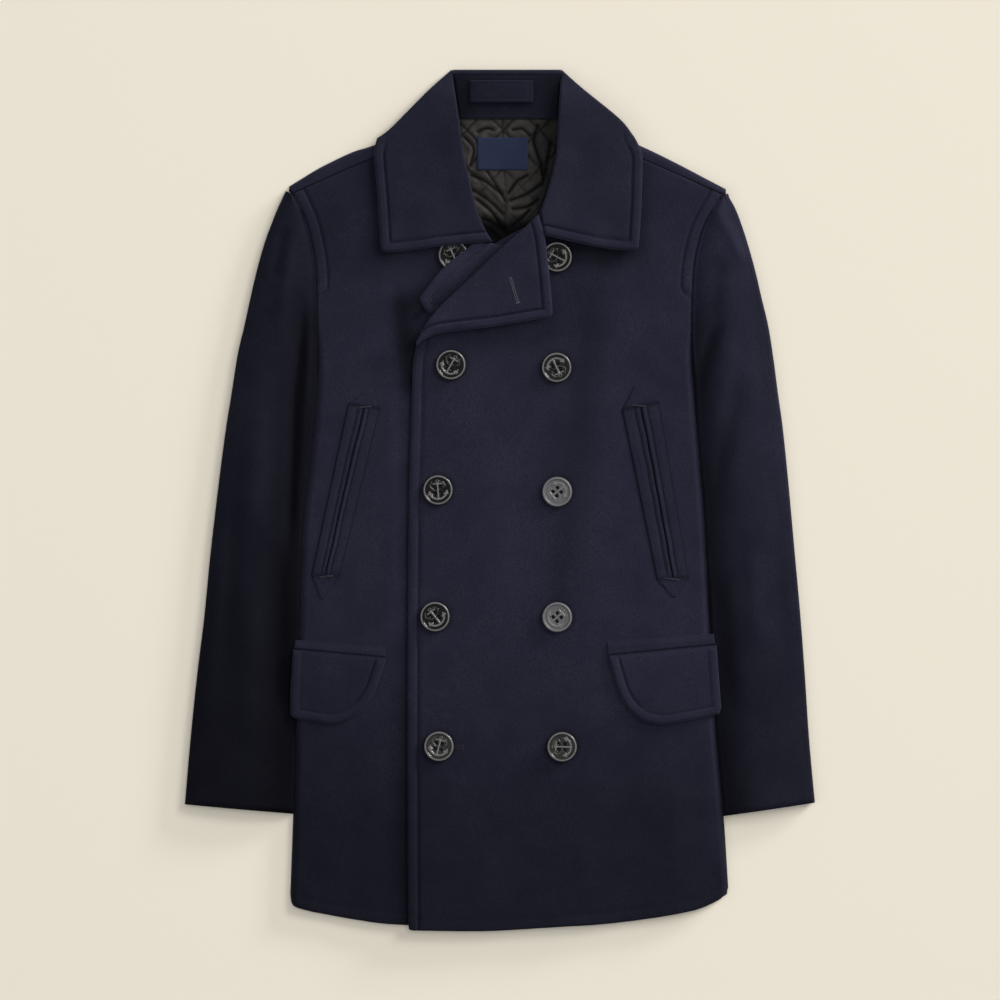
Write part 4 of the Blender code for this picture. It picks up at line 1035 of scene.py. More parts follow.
# %% Lapels
OVER_LAPEL = dict(
    bottom=curved(((-79.6, 146.4), (-72.2, 151.6), (-58.9, 157.6), (-39.0, 160.6), (-4.8, 164.6),
                   (29.5, 170.4), (46.0, 173.0))),
    outer=curved(((46.0, 173.0), (49.6, 177.0), (49.0, 190.0), (46.8, 214.7), (42.6, 249.6), (36.8, 271.0))),
    roll=curved(((-80.0, 149.6), (-63.6, 176.0), (-28.5, 210.0), (-0.9, 236.6), (19.0, 253.6),
                 (36.8, 271.0))))
UNDER_LAPEL = dict(
    bottom=curved(((-76.4, 190.6), (-73.6, 185.6), (-68.6, 177.6), (-66.0, 175.6), (-62.0, 176.2),
                   (-50.0, 177.0))),
    outer=curved(((-76.4, 190.6), (-75.4, 193.4), (-72.4, 197.6), (-54.6, 219.4), (-27.6, 241.2),
                  (-24.0, 242.6))),
    top=curved(((-24.0, 242.6), (-10.0, 243.9), (5.0, 241.0))),
    roll=curved(((-50.0, 177.0), (-21.0, 205.0), (5.0, 241.0))))
LAPEL_THICK, UNDER_LAPEL_THICK = 4.5, 3.1
# Row, then x and y of the button in the right column and of the one in the left column
BUTTONS = (
    (1, -44.4, 232.6, 54.2, 230.6),
    (2, -46.6, 128.3, 53.7, 125.8),
    (3, -58.9, 9.5, 54.2, 7.8),
    (4, -61.7, -110.7, 54.2, -111.2),
    (5, -58.0, -233.7, 58.9, -234.2),
)


def over_lapel_low(x, y):
    """The lower face of the left lapel, which lies on the left front and, higher up, on the right lapel."""
    return np.maximum(over_front(x, y) + 1.2, 17.2 + 3.4 * smooth(168.0, 214.0, y))


def under_lapel_low(x, y):
    """The lower face of the right lapel, which climbs over the top button."""
    from_button = np.hypot(x - BUTTONS[0][1], y - BUTTONS[0][2])
    return under_front(x, y) + 0.3 + 5.1 * (1.0 - smooth(18.5, 62.0, from_button))


def over_lapel_shape(x, y):
    """The soft roll and the unevenness on top of the left lapel."""
    return fold(x, y, ((-55, 166), (-20, 190), (14, 222)), 14.0, 0.5) + 0.3 * swell(x, y, 60.0, 23)


def make_over_lapel():
    tips = np.array((OVER_LAPEL["bottom"][0], OVER_LAPEL["roll"][0]))
    across = edged(150.0, 2.0, rim=5.0, near=0.6, hold=FINE)
    up = edged(78.0, 1.5, rim=5.0, near=0.5, hold=FINE)
    x, y = net(OVER_LAPEL["bottom"], OVER_LAPEL["roll"], tips, OVER_LAPEL["outer"], across, up)
    low = over_lapel_low(x, y)
    edge = joined(OVER_LAPEL["bottom"], OVER_LAPEL["outer"])
    top = low + LAPEL_THICK + welt(x, y, edge, **LAPEL_WELT) + over_lapel_shape(x, y)
    made = rounded_slab("lapel_left_cloth", x, y, top, low, melton, (edge, OVER_LAPEL["roll"]), 2.2)
    # Painted shade along the stitches and a painted highlight on the lip, noted as pressed
    note(made, "pressed", painted_stitch_shade_and_light(gap_to(x, y, edge)[0], LAPEL_WELT["inset"]))
    return sew_in(made, ["lapel_left"], "melton", flat=(0.150, 0.09), area=0.0062,
                  rests_on=["front_left_cloth", "lapel_right_cloth"])


def make_under_lapel():
    x, y = net(UNDER_LAPEL["bottom"], UNDER_LAPEL["top"], UNDER_LAPEL["outer"], UNDER_LAPEL["roll"],
               edged(35.0, 1.8, rim=4.0, near=0.5), edged(75.0, 2.0, rim=4.0, near=0.5))
    low = under_lapel_low(x, y)
    edge = joined(UNDER_LAPEL["bottom"][::-1], UNDER_LAPEL["outer"])
    top = low + UNDER_LAPEL_THICK + welt(x, y, edge, inset=8.6, depth=0.8, lip=0.4)
    rims = (edge, UNDER_LAPEL["top"], UNDER_LAPEL["roll"])
    made = rounded_slab("lapel_right_cloth", x, y, top, low, melton, rims, 1.6)
    # Painted shade along the stitches, and a painted shadow along the roll edge of the left lapel that lies
    # over it
    note(made, "pressed", painted_stitch_shade_and_light(gap_to(x, y, edge)[0], 8.6, dark=0.2)
         * (1.0 - 0.5 * np.exp(-(gap_to(x, y, OVER_LAPEL["roll"])[0] / 7.0) ** 2)))
    return sew_in(made, ["lapel_right"], "melton", flat=(0.095, 0.05), area=0.0030,
                  rests_on=["front_right_cloth"])


for lapel in (make_over_lapel(), make_under_lapel()):
    print(lapel.name, len(lapel.data.vertices), "points")

# %% [markdown]
# ## Quilted lining
# The inside of the back neck is a slate satin with a thin wadding, quilted in diamonds by hand. Where
# two lines of stitches cross it is pinched, between them it is padded, and since the coat lies flat it
# has also crumpled a little. Stitch lines are trenches and the pads are what is left between them. Its
# upper corners run on below the collar and the stand, as they would in the coat. A bump alone would
# give the quilting, but the lamp is low enough that real troughs look better.

# %% Satin
def satin_finish(name):
    made, shader, add, tree = finish_of(name, (0.011, 0.0105, 0.0115), 0.55,
                                        Specular_IOR_Level=0.16, Anisotropic=0.3)
    space = add("ShaderNodeTexCoord").outputs["Object"]
    stretch = add("ShaderNodeMapping", {"Vector": space}, Scale=(3.0, 0.7, 1.0)).outputs["Vector"]
    slubs = add("ShaderNodeTexNoise", {"Vector": stretch}, Scale=900.0, Detail=2.0).outputs["Fac"]
    crumple = add("ShaderNodeTexNoise", {"Vector": space}, Scale=75.0, Detail=4.0,
                  Distortion=0.8).outputs["Fac"]
    padding = add("ShaderNodeAttribute", attribute_name="padding").outputs["Fac"]
    # Painted light and shade on the crumples: the colour follows the noise that also bumps them
    colour = mixed(add, crumple, (0.011, 0.0103, 0.0100), (0.046, 0.0435, 0.0418))
    # Painted shade along the quilting and in the creases, where the gloss is turned down too
    stitched = mixed(add, padding, (0.0022, 0.0021, 0.0024), colour)
    tree.links.new(stitched, shader.inputs["Base Color"])
    tree.links.new(times(add, padding, 0.16), shader.inputs["Specular IOR Level"])
    bumped(add, shader, tree, ((crumple, 0.5, 0.002), (slubs, 0.2, 0.0002)))
    return made


satin = satin_finish("slate_satin")
print("satin made, with", len(satin.node_tree.nodes), "nodes")

# %% Outline, quilting and creases of the lining
LINING = dict(
    bottom=curved(((-11.0, 240.5), (8.0, 252.0), (28.0, 262.5), (34.0, 268.0))),
    right=curved(((34.0, 268.0), (46.0, 299.0), (55.0, 326.0), (62.0, 352.0), (68.0, 368.0))),
    top=np.array(((-62.0, 368.0), (68.0, 368.0))),
    left=curved(((-11.0, 240.5), (-26.0, 276.0), (-34.0, 306.0), (-41.0, 327.0), (-62.0, 368.0))))
# Height of its face, how far it is tucked below its neighbours, and its least and greatest height
LINING_LEVEL, LINING_TUCK, LINING_HEIGHTS = 5.2, 4.0, (3.3, 6.6)
# Quilting: the diamonds cross here, at this pitch across and along
QUILT_CROSS, QUILT_PITCH = (-31.7, 351.5), (34.7, 36.0)
CENTRE_SEAM = ((2.5, 362), (2.0, 330), (6.0, 290), (4.0, 262))
# Creases where the lining has crumpled: line, half width, depth
CREASES = (
    (((-21, 350), (-13, 353.5), (-6, 352)), 1.6, 1.2), (((12, 352), (21, 353), (29, 346)), 1.8, 1.3),
    (((-34, 345), (-25, 334), (-28, 318)), 1.5, 0.8), (((48, 340), (44, 318), (40, 300)), 2.0, 1.0),
    (((36, 356), (32, 341), (38, 322), (41, 309)), 2.4, 1.5), (((-27, 309), (-14, 303), (2, 291)), 2.0, 1.4),
    (((-30, 297), (-12, 286), (3, 272)), 2.2, 1.5), (((-22, 286), (-8, 274), (2, 258)), 2.0, 1.4),
    (((26, 309), (16, 303), (8, 292)), 2.0, 1.3), (((38, 300), (25, 291), (10, 285)), 2.0, 1.2),
    (((36, 286), (26, 279), (12, 277)), 2.2, 1.2), (((-12, 312), (-4, 300), (5, 284)), 1.4, 0.9),
    (((-16, 268), (-4, 262), (6, 254)), 2.4, 1.4), (((28, 276), (20, 268), (12, 262)), 2.4, 1.4),
)


def quilt_lines():
    """Two families of stitch lines that cross in diamonds, and the seam down the middle."""
    x0, y0 = QUILT_CROSS
    wide, high = QUILT_PITCH
    for lean in (-1.0, 1.0):
        for step in range(-5, 6):
            low = y0 + step * high
            yield ((x0 - wide, low - lean * high), (x0 + 3.0 * wide, low + lean * 3.0 * high))
    yield CENTRE_SEAM


print("quilted along", len(list(quilt_lines())), "lines, with", len(CREASES), "creases")

# %% Lining
def trough(d, half):
    return np.exp(-(d / half) ** 2)


def make_lining():
    pitch = full_or_quick(1.1)
    x, y = net(LINING["bottom"], LINING["top"], LINING["left"], LINING["right"],
               even(90.0, pitch), even(120.0, pitch))
    z = LINING_LEVEL + 0.6 * swell(x, y, 24.0, 5) + 0.6 * swell(x, y, 9.0, 6)
    quilt_shade = np.ones(x.shape)
    crumpled = smooth(330.0, 300.0, y)
    for line in quilt_lines():
        d, _ = gap_to(x, y, np.array(line, float))
        z -= 1.0 * trough(d, 1.1) * (1.0 - 0.5 * crumpled)
        # Painted shade along each line of stitches
        quilt_shade = np.minimum(quilt_shade, 1.0 - (0.62 - 0.3 * crumpled) * trough(d, 0.9) - 0.15 * trough(d, 4.0))
    for line, half, depth in CREASES:
        d, _ = gap_to(x, y, curved(line, 5))
        z -= depth * trough(d, half) - 0.4 * trough(d - 2.4 * half, half)
        # Painted shade in each crease
        quilt_shade = np.minimum(quilt_shade, 1.0 - 0.95 * trough(d, 0.85 * half))
    # Its top edge is tucked below the stand, and its upper corners below the collar
    past_collar = smooth(36.5, 40.0, -x) + smooth(55.0, 58.5, x)
    z -= LINING_TUCK * np.maximum(smooth(STAND_Y - 1.6, STAND_Y, y), past_collar)
    made = sheet_of("lining_cloth", x, y, np.clip(z, *LINING_HEIGHTS), satin, wall=1.5)
    # Painted shade in the point of the opening, and towards the wearer's left under the roll of the collar
    quilt_shade *= (1.0 - 0.95 * smooth(277.0, 259.0, y)) * (1.0 - 0.6 * smooth(18.0, 46.0, x))
    note(made, "padding", np.clip(quilt_shade, 0.0, 1.0))
    return sew_in(made, ["lining"], "lining_satin", flat=(0.092, 0.122), area=0.0088,
                  rests_on=["back_cloth"])


lining = make_lining()
print(lining.name, len(lining.data.vertices), "points")

# %% [markdown]
# ## Neck label
# A woven label in navy, left bare. Its weave could be real threads, but a fine rib of bump both ways is
# enough at this size.

# %% Label
weave, weave_shader, add_weave, weave_tree = finish_of("label_weave", (0.0125, 0.0185, 0.044), 0.7,
                                                       Specular_IOR_Level=0.2)
weave_space = add_weave("ShaderNodeTexCoord").outputs["Object"]
ribs, picks = (add_weave("ShaderNodeTexWave", {"Vector": weave_space}, wave_type="BANDS", bands_direction=way,
                         Scale=pitch).outputs["Fac"] for way, pitch in (("X", 500.0), ("Y", 700.0)))
bumped(add_weave, weave_shader, weave_tree, ((ribs, 0.4, 0.00015), (picks, 0.4, 0.00015)))
LABEL = ((-21.8, 313.6), (26.6, 313.6), (26.6, 344.6), (-21.8, 344.6))
LABEL_LEVEL, LABEL_THICK = 7.0, 0.5


def make_label():
    x, y = quad_net(LABEL, even(48.0, 1.6), even(31.0, 1.6))
    top = LABEL_LEVEL + 0.35 * np.sin(x / 7.0 + 1.0) * np.cos(y / 9.0)
    made = rounded_slab("neck_label_cloth", x, y, top, top - LABEL_THICK, weave, (around(LABEL),), 0.25)
    return sew_in(made, ["neck_label"], "label_weave", flat=(0.0484, 0.031), area=0.0015,
                  rests_on=["lining_cloth"])


label = make_label()
print(label.name, len(label.data.vertices), "points")

# %% [markdown]
# ## Slanted hand pockets
# Each hand pocket is a slit between two thin rolls of cloth, set in a long panel that is stitched
# flat with a point at either end. Across the slit, one short table gives the height of the panel:
# the stitched rim, the flat band, the seam beside a roll, the roll, and the dark slit in the middle.
# Rolls of their own would be truer, but in one net rolls, seams and slit stay in line all the way.

# %% Slanted pockets
# Lower outer, lower inner, upper inner and upper outer corner of each
RIGHT_WELTS = ((-179.4, -72.0), (-152.2, -72.0), (-113.8, 86.5), (-144.6, 91.0))
LEFT_WELTS = ((179.6, -73.5), (148.8, -75.5), (115.6, 85.5), (151.4, 92.5))
# Lower and upper point of the stitched triangles
RIGHT_POINTS, LEFT_POINTS = ((-169.2, -96.0), (-121.9, 107.7)), ((165.9, -94.0), (129.6, 111.2))
# Share of the way across, height over the front, and painted tone: shade at the rims, along the seams and in
# the slit, a little light on the rolls
WELT_PROFILE = np.array((
    (0.0, 0.10, 0.42), (0.03, 0.55, 0.55), (0.07, 0.85, 1.0), (0.20, 1.10, 1.0), (0.29, 0.95, 1.0),
    (0.335, 0.45, 0.5), (0.38, 1.15, 1.05), (0.43, 1.45, 1.1), (0.47, 1.05, 0.8), (0.488, -0.3, 0.12),
    (0.512, -0.3, 0.12), (0.53, 1.05, 0.8), (0.57, 1.45, 1.1), (0.62, 1.15, 1.05), (0.665, 0.60, 0.5),
    (0.71, 0.95, 1.0), (0.80, 1.05, 1.0), (0.93, 0.9, 1.0), (0.97, 0.5, 0.55), (1.0, 0.10, 0.42)))
POINT_HEIGHT = 0.55         # of the flat triangles over the panel's ground
PANEL_GAP = 0.45            # between the front and the panel's ground
# Share of the way across, and height and painted shade of the triangles
POINT_PROFILE = ((0.0, 0.1, 0.9, 1.0), (0.2, 1.0, 1.0, 0.2))
POINT_PAINTED_SHADE = ((0.0, 0.06, 0.94, 1.0), (0.42, 1.0, 1.0, 0.42))


def make_welts(name, node, corners, tips, front_height_of, below, seed):
    low_out, low_in, high_in, high_out = (np.array(c) for c in corners)
    sign = 1.0 if low_out[0] > 0 else -1.0
    # First and second lower corner, third and fourth upper corner, each pair from left to right
    first, second, third, fourth = low_out, low_in, high_out, high_in
    if sign > 0:
        first, second, third, fourth = second, first, fourth, third
    low_tip, high_tip = (np.array(tip) for tip in tips)
    across = np.unique(np.concatenate([np.linspace(0, 1, 25), WELT_PROFILE[:, 0]]))
    profile, welt_painted_shade = (np.interp(across, WELT_PROFILE[:, 0], WELT_PROFILE[:, k]) for k in (1, 2))
    point_painted_shade = np.interp(across, *POINT_PAINTED_SHADE)
    flat = POINT_HEIGHT * np.interp(across, *POINT_PROFILE)
    rows, heights, tones = [], [], []

    def add_point(start, end, tip, ends):
        """A triangle from a base to its tip, as rows."""
        for t in ends:
            rows.append((start + (end - start) * across[:, None]) * (1 - t) + tip * t)
            heights.append(flat * min(1.0, 3.0 * (1 - t)))
            # Painted shade along the base of each triangle
            tones.append(point_painted_shade * (1.0 - 0.4 * np.exp(-(10.0 * t) ** 2)))

    ends = np.linspace(0.93, 0.06, 9)
    add_point(first, second, low_tip, ends)
    for t in np.linspace(0.0, 1.0, 70):
        near, far = first + (third - first) * t, second + (fourth - second) * t
        rows.append(near + (far - near) * across[:, None])
        ease = float(smooth(0.0, 0.02, t) * smooth(0.0, 0.02, 1.0 - t))
        heights.append(profile * ease + (flat - 0.35) * (1.0 - ease))
        # Painted shade where the panel runs into its triangles
        tones.append(welt_painted_shade * ease + 0.5 * point_painted_shade * (1.0 - ease))
    add_point(third, fourth, high_tip, ends[::-1])
    plan, height = np.array(rows), np.array(heights)
    x, y = plan[..., 0], plan[..., 1]
    # The slit is not ruled straight: it bows a little, as a hand has used it
    bow = 0.7 * np.sin(np.pi * np.clip((y + 72.0) / 160.0, 0.0, 1.0)) + 0.6 * swell(x, y, 30.0, seed)
    x = x + sign * bow * np.interp(across, (0.0, 0.3, 0.7, 1.0), (0.0, 1.0, 1.0, 0.0))[None, :]
    ground = front_height_of(x, y) + PANEL_GAP
    top = ground + height + 0.12 * swell(x, y, 40.0, seed + 1)
    made = slab_of(name, x, y, np.maximum(top, ground + 0.05), ground - 0.15, melton)
    note(made, "pressed", np.array(tones))
    return sew_in(made, [node], "melton", flat=(0.034, 0.186), area=0.0054, rests_on=[below])


for side, corners, tips, front_height_of, seed in (
        ("right", RIGHT_WELTS, RIGHT_POINTS, under_front, 41),
        ("left", LEFT_WELTS, LEFT_POINTS, over_front, 43)):
    made = make_welts("pocket_%s_cloth" % side, "pocket_welts_" + side, corners, tips, front_height_of,
                      "front_%s_cloth" % side, seed)
    print(made.name, len(made.data.vertices), "points")

# %% [markdown]
# ## Flap pockets
# A flap is two plies turned out and stitched a centimetre in, so it is a little pillow that lies on the
# front and rounds off at its rim. Its upper edge goes into a seam, and the narrow jet above that seam is
# one ply pressed flat. A box with rounded corners would be quicker, but its rim would be the same all
# round, and here the stitches pull harder on one side.

# %% Flaps and jets
FLAP_SEAT = 9.3             # least height of what a flap lies on
FLAP_GAP, FLAP_THICK = 0.4, 3.6
FLAP_SWELL = (0.25, 50.0, 51)       # height, size and seed of a flap's unevenness
FLAP_INSET, FLAP_DEPTH, FLAP_LIP = 9.2, 1.2, 0.75       # of its stitched trench
FLAP_PULL = (0.30, 0.9, 0.12)       # share of that depth along the bottom, the inner and the outer side
RIGHT_FLAP = dict(
    bottom=curved(((-199.4, -200.5), (-198.0, -205.4), (-193.0, -207.6), (-176.0, -210.6), (-158.7, -212.6),
                   (-146.0, -209.6), (-137.6, -204.6), (-130.6, -199.0))),
    inner=curved(((-130.6, -199.0), (-124.0, -190.0), (-117.4, -178.0), (-107.8, -149.8))),
    top=np.array(((-196.6, -141.6), (-107.8, -149.8))),
    outer=curved(((-199.4, -200.5), (-199.0, -180.0), (-196.6, -141.6))),
    jet=((-196.0, -140.8), (-108.2, -149.0), (-109.2, -139.2), (-194.4, -132.9)))
LEFT_FLAP = dict(
    bottom=curved(((127.4, -203.4), (134.0, -208.4), (143.0, -211.6), (158.0, -212.9), (184.0, -208.4),
                   (204.4, -204.2), (208.6, -201.6), (210.2, -196.0))),
    inner=curved(((127.4, -203.4), (118.6, -193.0), (111.4, -178.0), (102.8, -147.8))),
    top=np.array(((102.8, -147.8), (205.8, -137.6))),
    outer=curved(((210.2, -196.0), (208.6, -177.0), (205.8, -137.6))),
    jet=((102.0, -146.9), (204.2, -136.8), (203.2, -127.0), (101.4, -133.6)))


def flap_ground(x, y, front_height_of):
    """The lower face of a flap."""
    return np.maximum(front_height_of(x, y), FLAP_SEAT) + FLAP_GAP


def flap_body(x, y, front_height_of):
    """The upper face of a flap before it is stitched."""
    share, size, seed = FLAP_SWELL
    return flap_ground(x, y, front_height_of) + FLAP_THICK + share * swell(x, y, size, seed)


def make_flap(side, flap, front_height_of, below):
    near, far = (flap["outer"], flap["inner"]) if side == "right" else (flap["inner"], flap["outer"])
    x, y = net(flap["bottom"], flap["top"], near, far, edged(95.0, 1.7, rim=5.0, near=0.55, hold=FINE),
               edged(66.0, 1.6, rim=5.0, near=0.55, hold=FINE))
    ground = flap_ground(x, y, front_height_of)
    edge_parts = (flap["bottom"], flap["inner"], flap["outer"])
    gaps = np.array([gap_to(x, y, line)[0] for line in edge_parts])
    near_free = gaps.min(axis=0)
    # The row of stitches pulls hardest on the curved inner side
    pull = np.array(FLAP_PULL)[gaps.argmin(axis=0)]
    trench = -FLAP_DEPTH * pull * np.exp(-((near_free - FLAP_INSET) / 1.15) ** 2)
    lip = FLAP_LIP * smooth(0.0, 3.2, near_free) * (1.0 - smooth(5.5, FLAP_INSET, near_free))
    to_seam = gap_to(x, y, flap["top"])[0]
    clear = smooth(1.0, 6.0, to_seam)
    top = flap_body(x, y, front_height_of) + (trench + lip) * clear
    top -= 0.9 * np.exp(-(to_seam / 2.4) ** 2)
    made = rounded_slab("pocket_flap_%s_cloth" % side, x, y, top, ground, melton, edge_parts, 2.0)
    # Painted shade along the stitches, as deep as the trench's share, a painted highlight on the lip, and
    # painted shade at the seam under the jet
    tone = painted_stitch_shade_and_light(near_free, FLAP_INSET, dark=0.42 * clear * pull)
    note(made, "pressed", tone * (1.0 - 0.3 * np.exp(-(to_seam / 1.5) ** 2)))
    sew_in(made, ["pocket_flap_" + side], "melton", flat=(0.105, 0.075), area=0.0062, rests_on=[below])


def make_jet(side, corners, front_height_of, below):
    x, y = quad_net(corners, edged(95.0, 1.8, rim=4.0, near=0.5), edged(10.5, 0.8, rim=2.0, near=0.35))
    ground = np.maximum(front_height_of(x, y), FLAP_SEAT) + 0.35
    rolled = 0.3 + 1.3 * smooth(0.0, 6.5, gap_to(x, y, np.array((corners[3], corners[2])))[0])
    top = ground + rolled + 0.12 * swell(x, y, 40.0, 52)
    made = rounded_slab("pocket_jet_%s_cloth" % side, x, y, top, ground, melton, (around(corners),), 0.8)
    sew_in(made, ["pocket_jet_" + side], "melton", flat=(0.105, 0.0135), area=0.0011, rests_on=[below])


for side, flap, front_height_of in (("right", RIGHT_FLAP, under_front), ("left", LEFT_FLAP, over_front)):
    make_flap(side, flap, front_height_of, "front_%s_cloth" % side)
    make_jet(side, flap["jet"], front_height_of, "front_%s_cloth" % side)
    print(side, "flap and jet made")

# %% [markdown]
# ## The buttons
# Each button is moulded black horn-like resin with a broad polished rim and, in the dish, the traditional
# anchor with a rope round it. The relief could be a bump texture, but it is half a millimetre high
# and catches the lamp, so it is real: a disc of rings and spokes, raised where the anchor runs and
# sunk where the four holes are. Every button was sewn on at its own turn.

# %% Resin
def resin_finish(name, colour, pale, least, most):
    """Moulded resin: deep and glossy in the dish, its gloss varying in scuffs, and pale on all that stands
    proud, partly as wear and partly as a painted highlight.
    """
    made, shader, add, tree = finish_of(name, colour, least, Specular_IOR_Level=0.4, Coat_Weight=0.1,
                                        Coat_Roughness=0.08)
    space = add("ShaderNodeTexCoord").outputs["Object"]
    scuffs = add("ShaderNodeTexNoise", {"Vector": space}, Scale=700.0, Detail=3.0).outputs["Fac"]
    proud = add("ShaderNodeAttribute", attribute_name="proud").outputs["Fac"]
    tree.links.new(mixed(add, proud, colour, pale), shader.inputs["Base Color"])
    wear = add("ShaderNodeMapRange", {"Value": scuffs}, To_Min=least, To_Max=most).outputs["Result"]
    tree.links.new(wear, shader.inputs["Roughness"])
    bumped(add, shader, tree, ((scuffs, 0.2, 0.0003),))
    return made


resin = resin_finish("black_resin", (0.005, 0.005, 0.0054), (0.125, 0.124, 0.122), 0.10, 0.24)
worn_resin = resin_finish("worn_resin", (0.004, 0.004, 0.005), (0.125, 0.125, 0.132), 0.30, 0.50)
# How far pale wear and a painted reflection spread over a whole face, by column and row
FACE_WEAR_AND_REFLECTION = {("left", 3): 0.66, ("left", 4): 0.66, ("right", 5): 0.14, ("left", 5): 0.12, ("left", 2): 0.05}

print("resins:", resin.name, "and", worn_resin.name)

# %% Profile and anchor of a button
BUTTON_RADIUS, BUTTON_THICK = 14.3, 4.2
# Radius, height of the face without its relief
BUTTON_PROFILE = np.array((
    (0.0, 2.75), (5.0, 2.75), (10.4, 2.75), (11.3, 2.7), (11.75, 3.5), (12.1, 4.0), (12.7, BUTTON_THICK),
    (13.3, 4.1), (13.8, 3.7), (14.1, 3.0), (BUTTON_RADIUS, 2.3)))
DISH_POINTS = 3             # the first rows of the profile, within the dish
HOLE_RADIUS, HOLE_OFFSET, HOLE_DEPTH = 1.45, 3.9, 2.3
RELIEF, ANCHOR_SCALE = 0.55, 1.12


def arc(middle_y, half_wide, half_high, start, end, count):
    """Points of an ellipse, from and to an angle turned from straight down."""
    turn = np.linspace(start, end, count)
    return np.stack([half_wide * np.sin(turn), middle_y - half_high * np.cos(turn)], axis=1)


# Each stroke of the anchor: its line and half of its width
ANCHOR = (
    (((0.0, 6.1), (0.0, -7.6)), 0.75),                                              # shank
    (((-3.6, 5.3), (3.6, 5.3)), 0.62),                                              # stock
    (arc(7.45, 1.15, 1.15, math.pi / 2, 5 * math.pi / 2, 12), 0.36),                # ring
    (arc(-0.6, 7.6, 7.1, -1.15, 1.15, 15), 0.85),                                   # arms
    (((-7.5, -2.0), (-5.2, -3.4)), 0.7), (((7.5, -2.0), (5.2, -3.4)), 0.7),         # flukes
    (((-7.2, -1.0), (-8.4, -4.0)), 0.55), (((7.2, -1.0), (8.4, -4.0)), 0.55),
    (((0.8, 7.2), (4.6, 7.0), (6.4, 3.4), (2.6, 1.0), (-2.6, -0.6), (-5.2, 1.6), (-6.6, 4.0),
      (-4.6, 7.4)), 0.34),                                                          # rope
)


def anchor_relief(u, v):
    height = np.zeros(np.shape(u))
    for line, half in ANCHOR:
        d, _ = gap_to(u, v, np.array(line))
        full = RELIEF * min(1.0, half / 0.6)
        height = np.maximum(height, full * (1.0 - smooth(half * 0.55, half * 1.25, d)))
    return height


print("strokes in the anchor:", len(ANCHOR))

# %% One button
def button_mesh_at(turn, worn=0.0):
    """Points, faces and paleness (wear and a painted highlight) of one button about its own centre, its
    relief turned by an angle.
    """
    spokes = full_or_quick(144)
    dish = np.arange(0.35, 11.2, full_or_quick(0.3))
    radii = np.unique(np.concatenate([dish, BUTTON_PROFILE[DISH_POINTS:, 0]]))
    angle = np.linspace(0, 2 * math.pi, spokes, endpoint=False)
    r, a = np.meshgrid(radii, angle, indexing="ij")
    x, y = r * np.cos(a), r * np.sin(a)
    u, v = x * math.cos(turn) + y * math.sin(turn), -x * math.sin(turn) + y * math.cos(turn)
    z = np.interp(r, BUTTON_PROFILE[:, 0], BUTTON_PROFILE[:, 1])
    relief = anchor_relief(u / ANCHOR_SCALE, v / ANCHOR_SCALE) * (1.0 - smooth(10.2, 11.0, r))
    z += relief
    # Pale on the raised anchor, on the rim and over a worn face: partly wear, and partly a painted highlight
    # and reflection
    rim_wear_and_highlight = smooth(12.0, 12.4, r) * (1.0 - smooth(13.6, 14.0, r))
    proud = worn + (1.0 - worn) * (np.clip(relief / RELIEF, 0.0, 1.0) ** 1.5 + rim_wear_and_highlight)
    for corner in math.pi / 4 + np.arange(4) * math.pi / 2:
        away = np.hypot(u - HOLE_OFFSET * math.cos(corner), v - HOLE_OFFSET * math.sin(corner))
        z -= HOLE_DEPTH * (1.0 - smooth(HOLE_RADIUS * 0.75, HOLE_RADIUS * 1.2, away))
        proud *= smooth(HOLE_RADIUS, HOLE_RADIUS * 1.4, away)
    face = np.stack([x, y, z], axis=-1).reshape(-1, 3)
    foot = 0.8 * BUTTON_RADIUS
    back = np.stack([foot * np.cos(angle), foot * np.sin(angle), np.full(spokes, 0.1)], axis=1)
    points = np.concatenate([face, back, [(0.0, 0.0, z[0].mean()), (0.0, 0.0, 0.0)]])
    rings, centre, under = len(radii), len(points) - 2, len(points) - 1
    faces = []
    for j in range(rings):
        for i in range(spokes):
            k = (i + 1) % spokes
            faces.append((j * spokes + i, (j + 1) * spokes + i, (j + 1) * spokes + k, j * spokes + k))
    for i in range(spokes):
        k = (i + 1) % spokes
        faces += [(centre, i, k), (under, rings * spokes + k, rings * spokes + i)]
    return points, faces, np.concatenate([proud.ravel(), np.zeros(len(points) - proud.size)])


print("a button has", len(button_mesh_at(0.0)[0]), "points")

# %% All ten buttons
# Turn of the anchor on each button, in degrees: row, right column, left column
BUTTON_TURNS = {1: (24, 62), 2: (-30, 205), 3: (4, 130), 4: (38, -48), 5: (-14, 88)}
BUTTON_GAP = 0.5            # thread between the cloth and the button


def button_seat(x, y, height):
    """The highest cloth under a button's rim, and the thread above it."""
    turn = np.linspace(0, 2 * math.pi, 16, endpoint=False)
    under_rim = height(x + BUTTON_RADIUS * np.cos(turn), y + BUTTON_RADIUS * np.sin(turn))
    return float(np.max(under_rim)) + BUTTON_GAP


button_places = []
for row, *columns in BUTTONS:
    for side, (x, y), turn in zip(("right", "left"), (columns[:2], columns[2:]), BUTTON_TURNS[row]):
        height = under_front if side == "right" and row == 1 else over_front
        worn = FACE_WEAR_AND_REFLECTION.get((side, row), 0.0)
        points, faces, proud = button_mesh_at(math.radians(turn), worn)
        seat = button_seat(x, y, height)
        finish = worn_resin if worn > 0.5 else resin
        made = new_object("button_%s_%d_resin" % (side, row), points, faces, finish)
        note(made, "proud", proud)
        made.location = (x * MM, y * MM, seat * MM)
        sew_in(made, ["button_%s_%d" % (side, row)], "button_black")
        button_places.append((x, y, seat, math.radians(turn)))
print("buttons sewn on:", len(button_places))

